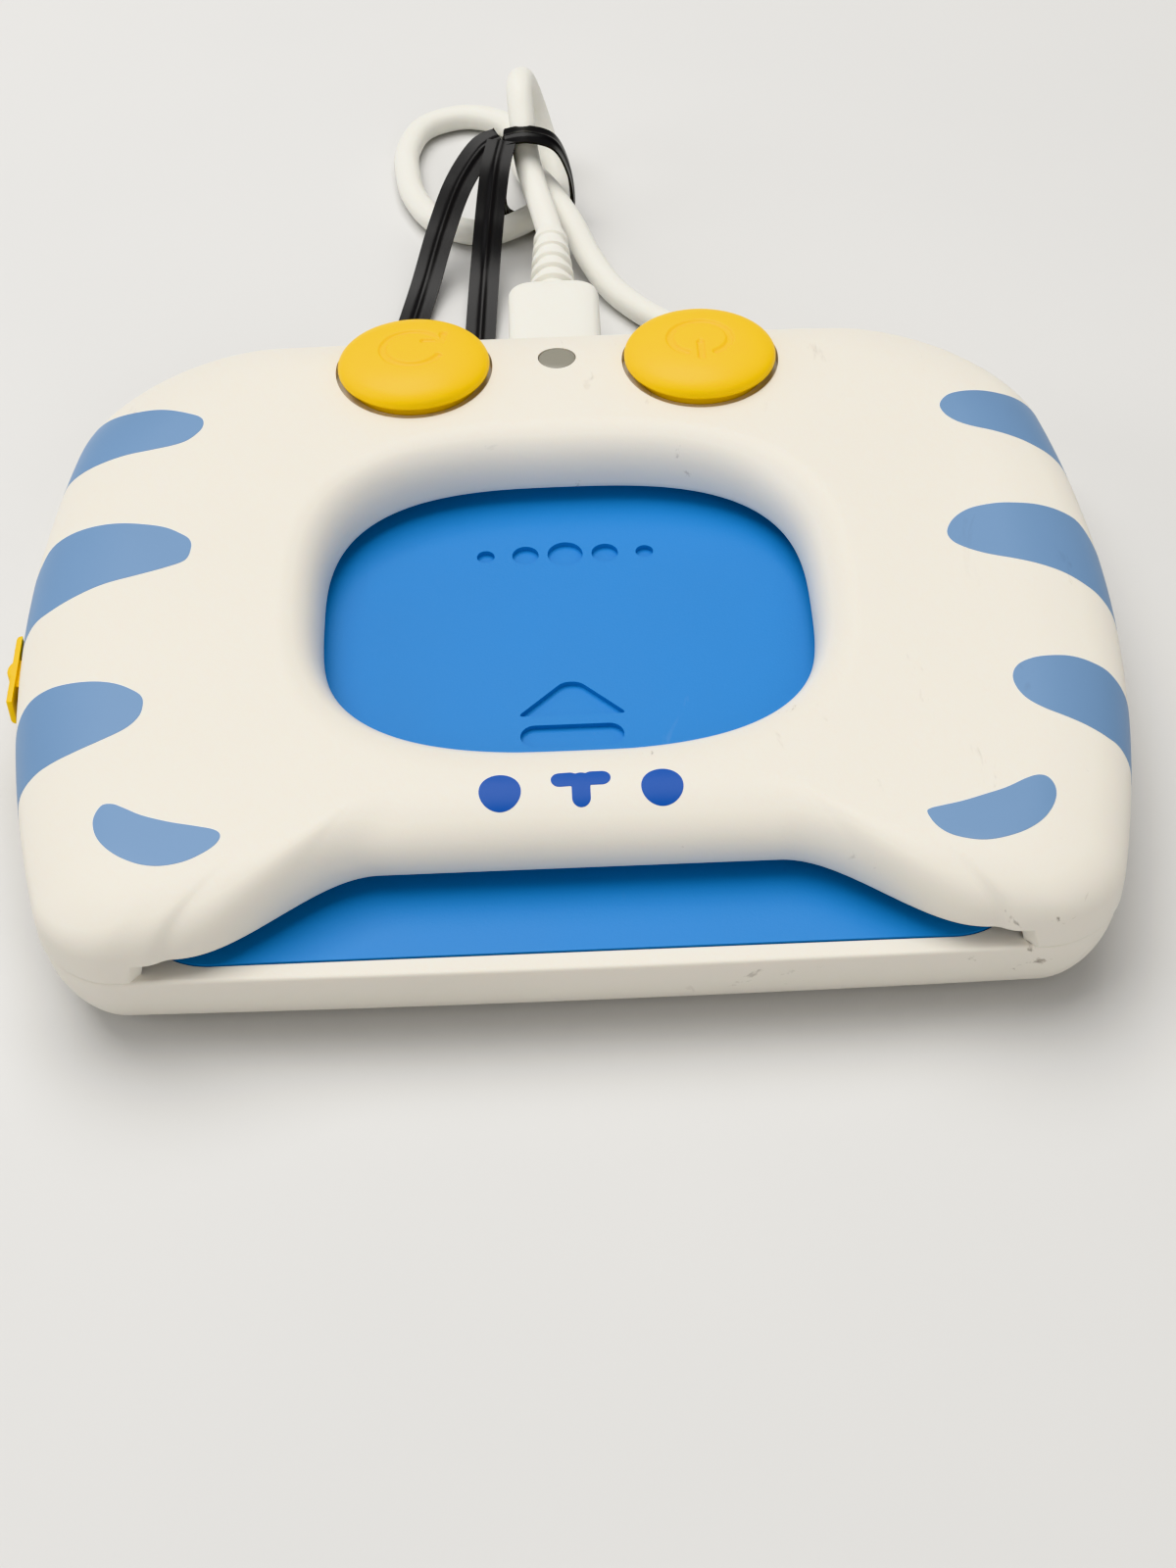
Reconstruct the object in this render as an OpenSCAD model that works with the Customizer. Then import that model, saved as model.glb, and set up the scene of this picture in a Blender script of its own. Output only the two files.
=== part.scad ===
// Cat-shaped talking flash-card reader: two shells, a card bed, a round-cornered window,
// two domed buttons, a volume slider, its electronics and a USB charging lead.
// The front is -Y, where the card goes in. The table is z = 0.

/* [Body] */
// Width of the body
body_w = 118; // [100:1:140]
// Depth of the body, front to back
body_d = 94.4; // [84:0.2:112]
// Height of the bed, on which the card slides, above the table
bed_z = 10.4; // [10:0.1:13]
// Height of the top shell's crest above the bed
crest_h = 8.6; // [8:0.1:11]
// Wall of both shells
wall = 1.8; // [1.4:0.1:2]
// How far the sides bulge outwards
side_bulge = 7.2; // [4:0.1:9]
// Plan radius of the front corners
front_r = 6.2; // [5:0.1:10]
// Plan radius of the back corners
back_r = 17; // [12:0.5:20]
// Plan width of the rounded outer edge
edge_r = 11; // [8:0.5:12]
// Plan width of the bottom shell's rounded lower edge
under_r = 5; // [4:0.5:9]

/* [Window and card slot] */
// Width of the window at its lip
window_w = 53.2; // [44:0.2:58]
// Depth of the window at its lip
window_d = 44.6; // [38:0.2:46]
// Plan width of the flared window wall at its sides and back
flare_r = 4.6; // [3:0.1:6]
// Width of the card slot
slot_w = 88; // [80:0.5:90]
// Height of the card slot above the bed
slot_h = 2.2; // [1.6:0.1:2.6]
// Depth of the card slot behind the bed's front edge
slot_d = 69.8; // [66:0.2:71]
// Thickness of the bed plate
bed_t = 1.4; // [1.2:0.1:2]
// Setback of the top shell's front edge behind the bed's front edge
recess_d = 8.4; // [5:0.1:10]

/* [Buttons] */
// Diameter of a button's cap
cap_d = 17.8; // [15:0.2:18.6]
// Diameter of a button's skirt, which runs in the shell
skirt_d = 15; // [12:0.2:15.4]
// Radial clearance of the skirt in its hole
skirt_gap = 0.1; // [0.1:0.05:0.2]
// Height of the domed cap
cap_h = 3.2; // [3:0.1:5.4]
// Travel of a button
press = 0.5; // [0.3:0.05:0.7]
// Distance of each button from the middle line
button_x = 16.8; // [15:0.1:20]
// Backward tilt of the buttons, degrees
button_tilt = 5; // [0:0.5:6]

/* [Volume slider] */
// Length of the slider's knob
knob_l = 10; // [8:0.2:13]
// Height of the slider's knob
knob_h = 3.3; // [2.6:0.1:3.6]
// How far the knob stands out from the side
knob_out = 1.15; // [0.9:0.05:1.2]
// Travel of the slider to each side of its middle
slide = 2; // [1:0.1:2.4]

/* [Charging lead] */
// Diameter of the cable
cable_d = 3.5; // [3:0.1:3.6]
// Width of the charging plug's moulding
plug_w = 11.6; // [10.4:0.1:12.4]
// Height of the charging plug's moulding
plug_h = 6.4; // [5:0.1:6.6]

/* [Hidden] */
$fn = 48;

shell_white = [0.95, 0.93, 0.90];
bed_blue = [0.22, 0.52, 0.85];
button_yellow = [0.98, 0.80, 0.02];
board_green = [0.05, 0.35, 0.18];
metal = [0.75, 0.75, 0.77];
black = [0.06, 0.06, 0.06];
white = [0.93, 0.93, 0.93];

// ---- outline of the body ----
front_bulge = 0.5;
back_bulge = 1.7;
half_w = body_w / 2 - side_bulge;
half_d = (body_d - front_bulge - back_bulge) / 2;
mid_y = (front_bulge - back_bulge) / 2;
corner_n = 8;
side_n = 7;
front_n = 21;
function arc(x, y, r, a0, n) =
    [for (i = [0 : n]) let (a = a0 + 90 * i / n) [x + r * cos(a), y + r * sin(a)]];
function between(p, q, n) = [for (i = [1 : n]) p + (q - p) * i / (n + 1)];
// A rounded rectangle, counter-clockwise from the front right, before its sides bulge.
function plain_outline(a, b, rf, rb) = concat(
    arc(a - rf, rf - b, rf, -90, corner_n), between([a, rf - b], [a, b - rb], side_n),
    arc(a - rb, b - rb, rb, 0, corner_n), between([a - rb, b], [rb - a, b], side_n),
    arc(rb - a, b - rb, rb, 90, corner_n), between([-a, b - rb], [-a, rf - b], side_n),
    arc(rf - a, rf - b, rf, 180, corner_n), between([rf - a, -b], [a - rf, -b], front_n));
function bulged(p, a, b) = [
    p[0] * (1 + side_bulge / a * (1 - pow(p[1] / b, 2))),
    mid_y + p[1] * (1 + (p[1] < 0 ? front_bulge : back_bulge) / b * (1 - pow(p[0] / a, 2)))];
// The body's plan outline, moved inwards by inset.
function body_outline(inset) = let (a = half_w - inset, b = half_d - inset)
    [for (p = plain_outline(a, b, max(front_r - inset, 2), max(back_r - inset, 3))) bulged(p, a, b)];

// ---- front edge of the top shell, set back over the bed between the two ears ----
bed_front = -body_d / 2 + 2.4;
front_lip = bed_front + recess_d;
recess_flat = slot_w / 2 - 24;
recess_end = slot_w / 2 - 4;
function ease(t) = t <= 0 ? 0 : t >= 1 ? 1 : t * t * (3 - 2 * t);
function recess_y(x) = front_lip
    - (recess_d + 1.6) * ease((abs(x) - recess_flat) / (recess_end - recess_flat))
    - 12 * ease((abs(x) - recess_end) / 8);
// The larger of y and the recess, with the corner between them rounded over recess_soft.
recess_soft = 1.2;
function set_back(y, gap) = gap < -20 ? y : y + (gap + sqrt(gap * gap + pow(recess_soft, 2))) / 2;
function top_outline() = [for (p = body_outline(0)) [p[0], set_back(p[1], recess_y(p[0]) - p[1])]];

// ---- window: a squircle, one point along the same ray as each outline point ----
squareness = 2.9;
function squircle(angle) = let (c = abs(cos(angle)), s = abs(sin(angle)),
    r = pow(pow(c, squareness) + pow(s, squareness), -1 / squareness))
    [r * cos(angle), r * sin(angle)];
function window_point(p) = let (q = squircle(atan2(p[1] / body_d, p[0] / body_w)))
    [q[0] * window_w / 2, q[1] * window_d / 2];

// ---- heights ----
foot_h = 0.8;
part_z = bed_z - 0.2;
wide_z = part_z + 3.2;
crest_z = bed_z + crest_h;
slot_z = bed_z + slot_h;
floor_z = foot_h + wall;

// ---- top shell: rings from the outer edge over the crest to the window and back inside ----
function ring_point(o, w, h) = o + (w - o) * h / norm(w - o);
// The flare widens towards the front.
front_flare = 0.6;
function flare(w) = flare_r * (1 + front_flare * pow(max(0, -2 * w[1] / window_d), 2));
function over(o, w, shrink, steps) = let (length = norm(w - o), ro = min(edge_r, 0.47 * length),
    ri = min(flare(w), 0.5 * length)) concat(
    [[o, part_z]], [for (i = [0 : steps]) let (a = 90 * i / steps)
        [ring_point(o, w, shrink + (ro - shrink) * (1 - cos(a))),
            wide_z + (crest_z - shrink - wide_z) * sin(a)]],
    [for (i = [0 : steps]) let (a = 90 * (1 - i / steps))
        [ring_point(o, w, length - shrink - (ri - shrink) * (1 - cos(a))),
            slot_z + (crest_z - shrink - slot_z) * sin(a)]]);
edge_steps = 6;
skin_outline = top_outline();
rays = len(skin_outline);
function skin(shrink) = [for (p = skin_outline) over(p, window_point(p), shrink, edge_steps)];
module top_skin() {
    outer = skin(0);
    inner = skin(wall);
    per = len(outer[0]);
    points = [for (i = [0 : rays - 1]) each concat(
        [for (k = [0 : per - 1]) [outer[i][k][0][0], outer[i][k][0][1], outer[i][k][1]]],
        [for (k = [per - 1 : -1 : 1]) [inner[i][k][0][0], inner[i][k][0][1], inner[i][k][1]]],
        [let (s = ring_point(skin_outline[i], window_point(skin_outline[i]), wall))
            [s[0], s[1], part_z]])];
    loop = 2 * per;
    faces = [for (i = [0 : rays - 1]) for (k = [0 : loop - 1])
        let (j = (i + 1) % rays, m = (k + 1) % loop, a = i * loop + k, b = j * loop + k,
            c = j * loop + m, d = i * loop + m) each [[a, c, b], [a, d, c]]];
    polyhedron(points, faces);
}

// ---- button frame: a point on the crest, tilted back ----
button_back = body_d / 2 - 10.3;
button_z = crest_z - 0.25;
hole_r = skirt_d / 2 + skirt_gap;
module at_button(side) {
    translate([side * button_x, button_back, button_z]) rotate([-button_tilt, 0, 0]) children();
}
board_top = part_z + 0.2;
board_t = 1.2;
switch_h = 3.4;
switch_w = 6;
plunger_d = 3.3;
// The plunger stands this far out of the switch, and the stem starts just above it.
plunger_out = press + 0.25;
stem_gap = 0.15;
stem_r = 1.6;
cap_gap = 0.3;
// Floor of the dish that the cap sinks into
cap_seat = -press - 0.7;
stem_drop = button_z - board_top - switch_h - plunger_out - stem_gap;
switch_y = button_back - stem_drop * sin(button_tilt);

// ---- places of the screws, posts and boards ----
screw_x = slot_w / 2 + 3.7;
screw_front = -body_d / 2 + 17;
screw_back = body_d / 2 - 22;
screw_r = 1;
thread_r = screw_r * 0.82;
head_r = 2.1;
head_t = 1.4;
post_r = 2.8;
guide_t = 1.3;
stop_y = bed_front + slot_d;
board_front = stop_y + 3.4;
board_back = body_d / 2 - 3.4;
board_w = 68;
board_screw_x = 30;
board_screw_y = board_front + 4;
led_y = body_d / 2 - 9;
led_d = 4.4;
fit = 0.1;

knob_y = -6;
knob_z = part_z + 2.2;
// Half width of the body at the slider
knob_x = half_w + side_bulge * (1 - pow((knob_y - mid_y) / half_d, 2));
neck_l = 4;
neck_h = 1.8;
switch_len = 11;

socket_z = board_top - board_t - 1.65;
socket_y = body_d / 2 - 2.2;

module case_posts(z0, z1, r) {
    for (x = [-screw_x, screw_x]) for (y = [screw_front, screw_back])
        translate([x, y, z0]) cylinder(h = z1 - z0, r = r);
}

module top_shell() {
    color(shell_white) difference() {
        union() {
            top_skin();
            // Card guides beside the slot and the stop behind it
            for (s = [-1, 1]) translate([s * (slot_w / 2 + guide_t / 2) - guide_t / 2,
                screw_front - 4, bed_z]) cube([guide_t, stop_y - screw_front + 4, crest_h - 1.2]);
            translate([-slot_w / 2 - guide_t, stop_y, bed_z])
                cube([slot_w + 2 * guide_t, guide_t, crest_h - 1.4]);
            // Screw posts for the case and the main board
            case_posts(part_z, crest_z - 1.2, post_r);
            for (s = [-1, 1]) translate([s * board_screw_x, board_screw_y, board_top])
                cylinder(h = crest_z - 1.2 - board_top, r = 2.4);
            // Slider rail inside the left side
            translate([-knob_x + 6.2, knob_y - switch_len / 2 - 1, knob_z + 2.2])
                cube([4.2, switch_len + 2, crest_z - knob_z - 3.3]);
        }
        // Card slot
        translate([-slot_w / 2, -body_d, part_z - 1])
            cube([slot_w, body_d + stop_y, slot_z - part_z + 1]);
        for (s = [-1, 1]) at_button(s) {
            translate([0, 0, -12]) cylinder(h = 24, r = hole_r);
            translate([0, 0, cap_seat]) cylinder(h = 12, r = cap_d / 2 + cap_gap);
        }
        translate([0, led_y, part_z]) cylinder(h = 20, r = led_d / 2 + fit);
        case_posts(part_z - 1, crest_z - 3.4, thread_r);
        for (s = [-1, 1]) translate([s * board_screw_x, board_screw_y, board_top - 1])
            cylinder(h = 6, r = 0.8);
        // Slot that the slider's neck runs in
        translate([-knob_x - 5, knob_y - neck_l / 2 - slide - 0.3, knob_z - neck_h / 2 - 0.2])
            cube([10, neck_l + 2 * slide + 0.6, neck_h + 0.4]);
    }
}

// ---- bottom shell: a bowl of outline rings with a rounded lower edge ----
bowl_steps = 7;
function bowl_ring(shrink, i) = let (a = 90 * i / bowl_steps,
    r = under_r, low = foot_h + shrink)
    [for (p = body_outline(0.25 + shrink + r * (1 - cos(a))))
        [p[0], p[1], part_z - (part_z - low) * sin(a)]];
function bowl_rings(shrink) = [for (i = [0 : bowl_steps]) bowl_ring(shrink, i)];
module bowl() {
    n = rays;
    rings = concat([for (i = [bowl_steps : -1 : 0]) bowl_ring(0, i)],
        [for (i = [0 : bowl_steps]) bowl_ring(wall, i)]);
    points = [for (r = rings) each r];
    last = len(rings) - 1;
    sides = [for (k = [0 : last - 1]) for (i = [0 : n - 1]) let (j = (i + 1) % n,
        a = k * n + i, b = k * n + j, c = (k + 1) * n + j, d = (k + 1) * n + i)
        each [[a, c, b], [a, d, c]]];
    under = [[for (i = [0 : n - 1]) i]];
    inside = [[for (i = [n - 1 : -1 : 0]) last * n + i]];
    polyhedron(points, concat(sides, under, inside));
}

bed_half = slot_w / 2 - 0.15;
bed_corner = 7.6;
bed_back = stop_y - 0.2;
module bed_plan(grow) {
    a = bed_half + grow;
    f = bed_front - grow;
    polygon(concat(arc(a - bed_corner, f + bed_corner, bed_corner, -90, 8),
        [[a, bed_back + grow], [-a, bed_back + grow]],
        arc(bed_corner - a, f + bed_corner, bed_corner, 180, 8)));
}
rail_x = slot_w / 2 - 3;
battery_size = [34, 40, 5];
battery_at = [-20, bed_back - 28.8];
speaker_at = [16, bed_back - 44.8];
speaker_d = 28;
speaker_h = 3;
sensor_board = [9, 30, 1];
sensor_at = [slot_w / 2 - 8.6, bed_back - 22.8];
sensor_z = floor_z + 2.4;
feet_x = body_w / 2 - 19;
feet_y = body_d / 2 - 14;
foot_r = 4;

module grille_holes() {
    translate([speaker_at[0], speaker_at[1], 0]) {
        translate([0, 0, foot_h - 1]) cylinder(h = wall + 2, r = 0.9);
        for (a = [0 : 60 : 300]) rotate(a) translate([3.6, 0, foot_h - 1])
            cylinder(h = wall + 2, r = 0.9);
        for (a = [0 : 30 : 330]) rotate(a) translate([7.2, 0, foot_h - 1])
            cylinder(h = wall + 2, r = 0.9);
    }
}

module bottom_shell() {
    color(shell_white) difference() {
        union() {
            bowl();
            // Deck around the front of the bed, with a ledge under it
            intersection() {
                translate([0, 0, bed_z - bed_t - 1]) linear_extrude(part_z - bed_z + bed_t + 1)
                    polygon(body_outline(0.9));
                translate([-body_w, -body_d, 0]) cube([2 * body_w, body_d - 26, 30]);
            }
            // Rails and a cross wall that carry the bed
            for (s = [-1, 1]) translate([s * rail_x - 0.7, -30, floor_z - 0.4])
                cube([1.4, bed_back + 28, bed_z - bed_t - floor_z + 0.4]);
            translate([-rail_x, bed_back - 3, floor_z - 0.4])
                cube([2 * rail_x, 1.2, bed_z - bed_t - floor_z + 0.4]);
            case_posts(floor_z - 0.4, part_z, post_r);
            // Cradle around the battery
            translate([battery_at[0] - battery_size[0] / 2 - 1.2,
                battery_at[1] - battery_size[1] / 2 - 1.2, floor_z - 0.4])
                cube([battery_size[0] + 2.4, battery_size[1] + 2.4, 2.4]);
            // Ring around the speaker
            translate([speaker_at[0], speaker_at[1], floor_z - 0.4])
                cylinder(h = 3, r = speaker_d / 2 + 1.3);
            // Pads under the card sensor board
            for (y = [-11, 11]) translate([sensor_at[0] - 3, sensor_at[1] + y - 1.5, floor_z - 0.4])
                cube([6, 3, sensor_z - floor_z + 0.4]);
        }
        translate([0, 0, bed_z - bed_t]) linear_extrude(6) bed_plan(0.15);
        // Space under the deck's middle
        translate([-bed_half + 1.6, bed_front + 3.4, floor_z + 3])
            cube([2 * bed_half - 3.2, 22, bed_z]);
        translate([battery_at[0] - battery_size[0] / 2 - fit,
            battery_at[1] - battery_size[1] / 2 - fit, floor_z])
            cube([battery_size[0] + 2 * fit, battery_size[1] + 2 * fit, 5]);
        translate([speaker_at[0], speaker_at[1], floor_z])
            cylinder(h = 8, r = speaker_d / 2 + fit);
        grille_holes();
        case_posts(foot_h - 1, part_z + 1, screw_r + fit);
        case_posts(foot_h - 1, foot_h + 0.6 + head_t, head_r);
        for (x = [-feet_x, feet_x]) for (y = [-feet_y, feet_y])
            translate([x, y, foot_h - 1]) cylinder(h = 1.6, r = foot_r);
        // Charging port
        translate([0, body_d / 2 - 8, socket_z]) rotate([-90, 0, 0]) linear_extrude(12)
            port_plan(9.2, 3.5);
    }
}

// A stadium-shaped port of width w and height h
module port_plan(w, h) {
    square([w - h, h], center = true);
    for (s = [-1, 1]) translate([s * (w - h) / 2, 0]) circle(d = h);
}

module card_bed() {
    color(bed_blue) difference() {
        translate([0, 0, bed_z - bed_t]) linear_extrude(bed_t) bed_plan(0);
        // Arrow that shows which way the card goes in
        translate([0, -10.4, bed_z - 0.35]) linear_extrude(1)
            polygon([[-5.4, -1.8], [5.4, -1.8], [0, 2.8]]);
        translate([0, -15.6, bed_z - 0.35]) linear_extrude(1) port_plan(10.8, 3.2);
        for (y = [-10 : 4 : 10]) translate([sensor_at[0], sensor_at[1] + y, 0])
            cylinder(h = 20, r = 1.1);
    }
}

// ---- domed button on its skirt, with two tabs under the shell that hold it in and a stem ----
skirt_low = -wall - 0.85;
skirt_wall = 1.2;
cap_rim = 0.7;
tab_w = 4;
tab_out = 0.9;
tab_t = 0.8;
module button(side) {
    at_button(side) {
        difference() {
            union() {
                rotate_extrude() polygon(concat(
                    [[0, 0.02], [cap_d / 2 - 0.9, 0.02], [cap_d / 2 - 0.2, 0.45],
                        [cap_d / 2, cap_rim]],
                    [for (i = [1 : 12]) let (a = 90 * i / 12)
                        [cap_d / 2 * pow(cos(a), 0.72),
                            cap_rim + (cap_h - cap_rim) * pow(sin(a), 0.9)]]));
                translate([0, 0, skirt_low]) cylinder(h = cap_rim - skirt_low, r = skirt_d / 2);
                translate([-skirt_d / 2 - tab_out, -tab_w / 2, skirt_low])
                    cube([skirt_d + 2 * tab_out, tab_w, tab_t]);
            }
            translate([0, 0, skirt_low - 1])
                cylinder(h = cap_rim - skirt_low + 0.9, r = skirt_d / 2 - skirt_wall);
        }
        translate([0, 0, -stem_drop]) cylinder(h = stem_drop + cap_rim + 0.5, r = stem_r);
    }
}
module repeat_button() {
    color(button_yellow) button(-1);
}
module power_button() {
    color(button_yellow) button(1);
}
plunger_h = 2;
module plunger(side) {
    translate([side * button_x, switch_y, board_top + switch_h + plunger_out - plunger_h])
        cylinder(h = plunger_h, r = plunger_d / 2);
}
module repeat_plunger() {
    color(black) plunger(-1);
}
module power_plunger() {
    color(black) plunger(1);
}
module tact_switch(side) {
    difference() {
        translate([side * button_x - switch_w / 2, switch_y - switch_w / 2, board_top])
            cube([switch_w, switch_w, switch_h]);
        translate([side * button_x, switch_y, board_top + 0.8])
            cylinder(h = switch_h, r = plunger_d / 2 + fit);
    }
}
module repeat_switch() {
    color(metal) tact_switch(-1);
}
module power_switch() {
    color(metal) tact_switch(1);
}

module light_pipe() {
    color([0.6, 0.6, 0.58]) translate([0, led_y, board_top + 1.6])
        cylinder(h = crest_z - 0.35 - board_top - 1.6, r = led_d / 2);
}
module status_led() {
    color(white) translate([-1.75, led_y - 1.4, board_top]) cube([3.5, 2.8, 1.5]);
}

// ---- volume slider ----
module volume_knob() {
    color(button_yellow) translate([-knob_x - 0.2, knob_y, knob_z]) {
        difference() {
            translate([-knob_out, -knob_l / 2, -knob_h / 2]) cube([knob_out, knob_l, knob_h]);
            for (s = [-1, 1]) translate([-knob_out, s * 1.05, -knob_h])
                cylinder(h = 2 * knob_h, r = 0.55);
        }
        translate([-0.1, -neck_l / 2, -neck_h / 2]) cube([6.6, neck_l, neck_h]);
    }
}
module volume_switch() {
    color(metal) difference() {
        translate([-knob_x + 5.4, knob_y - switch_len / 2, knob_z - 2.2])
            cube([4.4, switch_len, 4.4]);
        translate([-knob_x + 5, knob_y - neck_l / 2 - slide - 0.3, knob_z - neck_h / 2 - 0.2])
            cube([1.8, neck_l + 2 * slide + 0.6, neck_h + 0.4]);
    }
}

// ---- electronics ----
module main_board() {
    color(board_green) difference() {
        translate([-board_w / 2, board_front, board_top - board_t])
            cube([board_w, board_back - board_front, board_t]);
        for (s = [-1, 1]) translate([s * board_screw_x, board_screw_y, 0])
            cylinder(h = 30, r = 1.1);
    }
}
module sound_chip() {
    color(black) translate([20, board_front + 5, board_top - board_t - 1.5]) cube([7, 7, 1.5]);
}
module usb_socket() {
    color(metal) difference() {
        translate([0, socket_y - 7.3, socket_z]) rotate([-90, 0, 0]) linear_extrude(7.3)
            port_plan(8.94, 3.3);
        translate([0, socket_y - 6.3, socket_z]) rotate([-90, 0, 0]) linear_extrude(7.3)
            port_plan(8.4, 2.7);
    }
}
module card_sensor_board() {
    color(board_green) translate([sensor_at[0] - sensor_board[0] / 2,
        sensor_at[1] - sensor_board[1] / 2, sensor_z]) cube(sensor_board);
}
module card_sensors() {
    color(black) for (y = [-10 : 4 : 10]) translate([sensor_at[0], sensor_at[1] + y, 0]) {
        translate([-1.5, -1.5, sensor_z + sensor_board[2]])
            cube([3, 3, bed_z - bed_t - 0.3 - sensor_z - sensor_board[2]]);
        translate([0, 0, bed_z - bed_t - 0.5]) cylinder(h = bed_t + 0.2, r = 0.95);
    }
}
module board_screws() {
    color(metal) for (s = [-1, 1]) translate([s * board_screw_x, board_screw_y, 0]) {
        translate([0, 0, board_top - board_t - 1]) cylinder(h = 1, r = 1.7);
        translate([0, 0, board_top - board_t - 0.5]) cylinder(h = board_t + 4.5, r = 0.8);
    }
}
module case_screws() {
    color(metal) {
        case_posts(foot_h + 0.6, foot_h + 0.6 + head_t, head_r - 0.2);
        case_posts(foot_h + 1.5, part_z + 5, thread_r);
    }
}
module battery() {
    color([0.72, 0.74, 0.78]) translate([battery_at[0] - battery_size[0] / 2,
        battery_at[1] - battery_size[1] / 2, floor_z]) cube(battery_size);
}
// A wire pair: straight runs with round corners
module run(a, b, r) {
    d = b - a;
    translate(a) rotate([0, acos(d[2] / norm(d)), atan2(d[1], d[0])])
        cylinder(h = norm(d), r = r, $fn = 16);
    translate(b) sphere(r = r, $fn = 16);
}
wire_r = 0.6;
module wires(points, spread) {
    for (s = [-1, 1]) for (i = [0 : len(points) - 2])
        run(points[i] + [s * spread, 0, 0], points[i + 1] + [s * spread, 0, 0], wire_r);
}
under_board = board_top - board_t;
battery_back = battery_at[1] + battery_size[1] / 2;
module battery_lead() {
    color([0.7, 0.1, 0.1]) wires([[battery_at[0], battery_back, floor_z + 4.4],
        [battery_at[0], bed_back - 3.8, floor_z + 4.4],
        [battery_at[0], bed_back - 3.8, bed_z - bed_t - 0.8]], 1);
}
module speaker() {
    color([0.25, 0.25, 0.27]) translate([speaker_at[0], speaker_at[1], floor_z])
        cylinder(h = speaker_h, r = speaker_d / 2);
}
module speaker_magnet() {
    color(metal) translate([speaker_at[0], speaker_at[1], floor_z + speaker_h])
        cylinder(h = 2.2, r = 7);
}
module speaker_lead() {
    color(black) wires([[speaker_at[0], speaker_at[1] + 10, floor_z + speaker_h + wire_r],
        [speaker_at[0], bed_back - 3.8, floor_z + speaker_h + wire_r]], 1);
}
module sensor_lead() {
    color(white) translate([sensor_at[0] - 3, sensor_at[1] + sensor_board[1] / 2, sensor_z])
        cube([6, bed_back - 3 - sensor_at[1] - sensor_board[1] / 2, 0.5]);
}
module rubber_feet() {
    color([0.85, 0.85, 0.85]) for (x = [-feet_x, feet_x]) for (y = [-feet_y, feet_y])
        translate([x, y, 0]) cylinder(h = foot_h + 0.6, r = foot_r);
}

// ---- charging lead ----
plug_y = body_d / 2 + 0.4;
plug_l = 18.4;
relief_l = 13.6;
relief_y = plug_y + plug_l;
cable_r = cable_d / 2;
module charging_plug() {
    color(white) translate([0, plug_y, socket_z]) rotate([-90, 0, 0]) linear_extrude(plug_l) {
        square([plug_w - 4, plug_h], center = true);
        square([plug_w, plug_h - 4], center = true);
        for (x = [-1, 1]) for (y = [-1, 1])
            translate([x * (plug_w / 2 - 2), y * (plug_h / 2 - 2)]) circle(r = 2);
    }
}
module charging_plug_tongue() {
    color(metal) translate([0, plug_y - 6.4, socket_z]) rotate([-90, 0, 0]) linear_extrude(6.4)
        port_plan(8.25, 2.4);
}
module strain_relief() {
    color(white) translate([0, relief_y, socket_z]) rotate([-90, 0, 0]) {
        cylinder(h = relief_l, r1 = 2.5, r2 = cable_r + 0.15);
        for (i = [0 : 4]) translate([0, 0, 0.6 + i * 2.6])
            cylinder(h = 1.5, r = 3.1 - 0.22 * i);
    }
}
relief_end = [0, relief_y + relief_l, socket_z];
lead_end = [-10, 52.9, 3.1];
cable_route = [
    relief_end, [-0.9, 84.6, 8.1], [-2, 89.4, 9.3], [-2.8, 93.4, 10.9], [-3.2, 97, 13.9],
    [-3.4, 101.6, 16.3], [-2.9, 106.4, 14.4], [-1.7, 108.5, 9.5], [-0.2, 106.5, 4.7],
    [1, 101.6, 2.6], [0.9, 96.6, 2.5], [-1.9, 91.8, 2.5], [-8.4, 88.8, 1.9], [-15, 91.6, 1.8],
    [-18.4, 97.6, 1.8], [-19.6, 103.8, 1.8], [-19.6, 109.8, 1.8], [-17.2, 115.6, 1.8],
    [-11.4, 118, 1.8], [-5.6, 115.6, 1.8], [-3.4, 109.8, 1.8], [-3.3, 104.8, 2.2],
    [-2.8, 100.2, 3.8], [-1.6, 95.4, 6], [0.4, 90.6, 6.4], [3, 85.4, 5], [5.4, 80, 2.9],
    [8.6, 74, 1.8], [14, 67.4, 1.8], [20.6, 63.2, 1.8], [27.6, 62, 1.8], [33.6, 61.8, 1.8],
    [38.5, 59.8, 1.8], [40.5, 54.9, 1.8], [38.5, 50, 1.8], [33.6, 48, 1.8], [27.6, 48, 1.8],
    [12, 48.8, 1.8], [-2, 51.2, 2.2], lead_end];
// A smooth curve through the route's points, with an extra ring between each pair
function through(p, i, t) = let (n = len(p) - 1, a = p[max(i - 1, 0)], b = p[i],
    c = p[min(i + 1, n)], d = p[min(i + 2, n)])
    0.5 * (2 * b + (c - a) * t + (2 * a - 5 * b + 4 * c - d) * t * t
        + (3 * b - a - 3 * c + d) * t * t * t);
function smooth(p, cuts) = [for (i = [0 : len(p) - 2]) for (k = [0 : cuts - 1])
    through(p, i, k / cuts), p[len(p) - 1]];
function unit(v) = v / norm(v);
function heading(p, i) = unit(p[min(i + 1, len(p) - 1)] - p[max(i - 1, 0)]);
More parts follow.
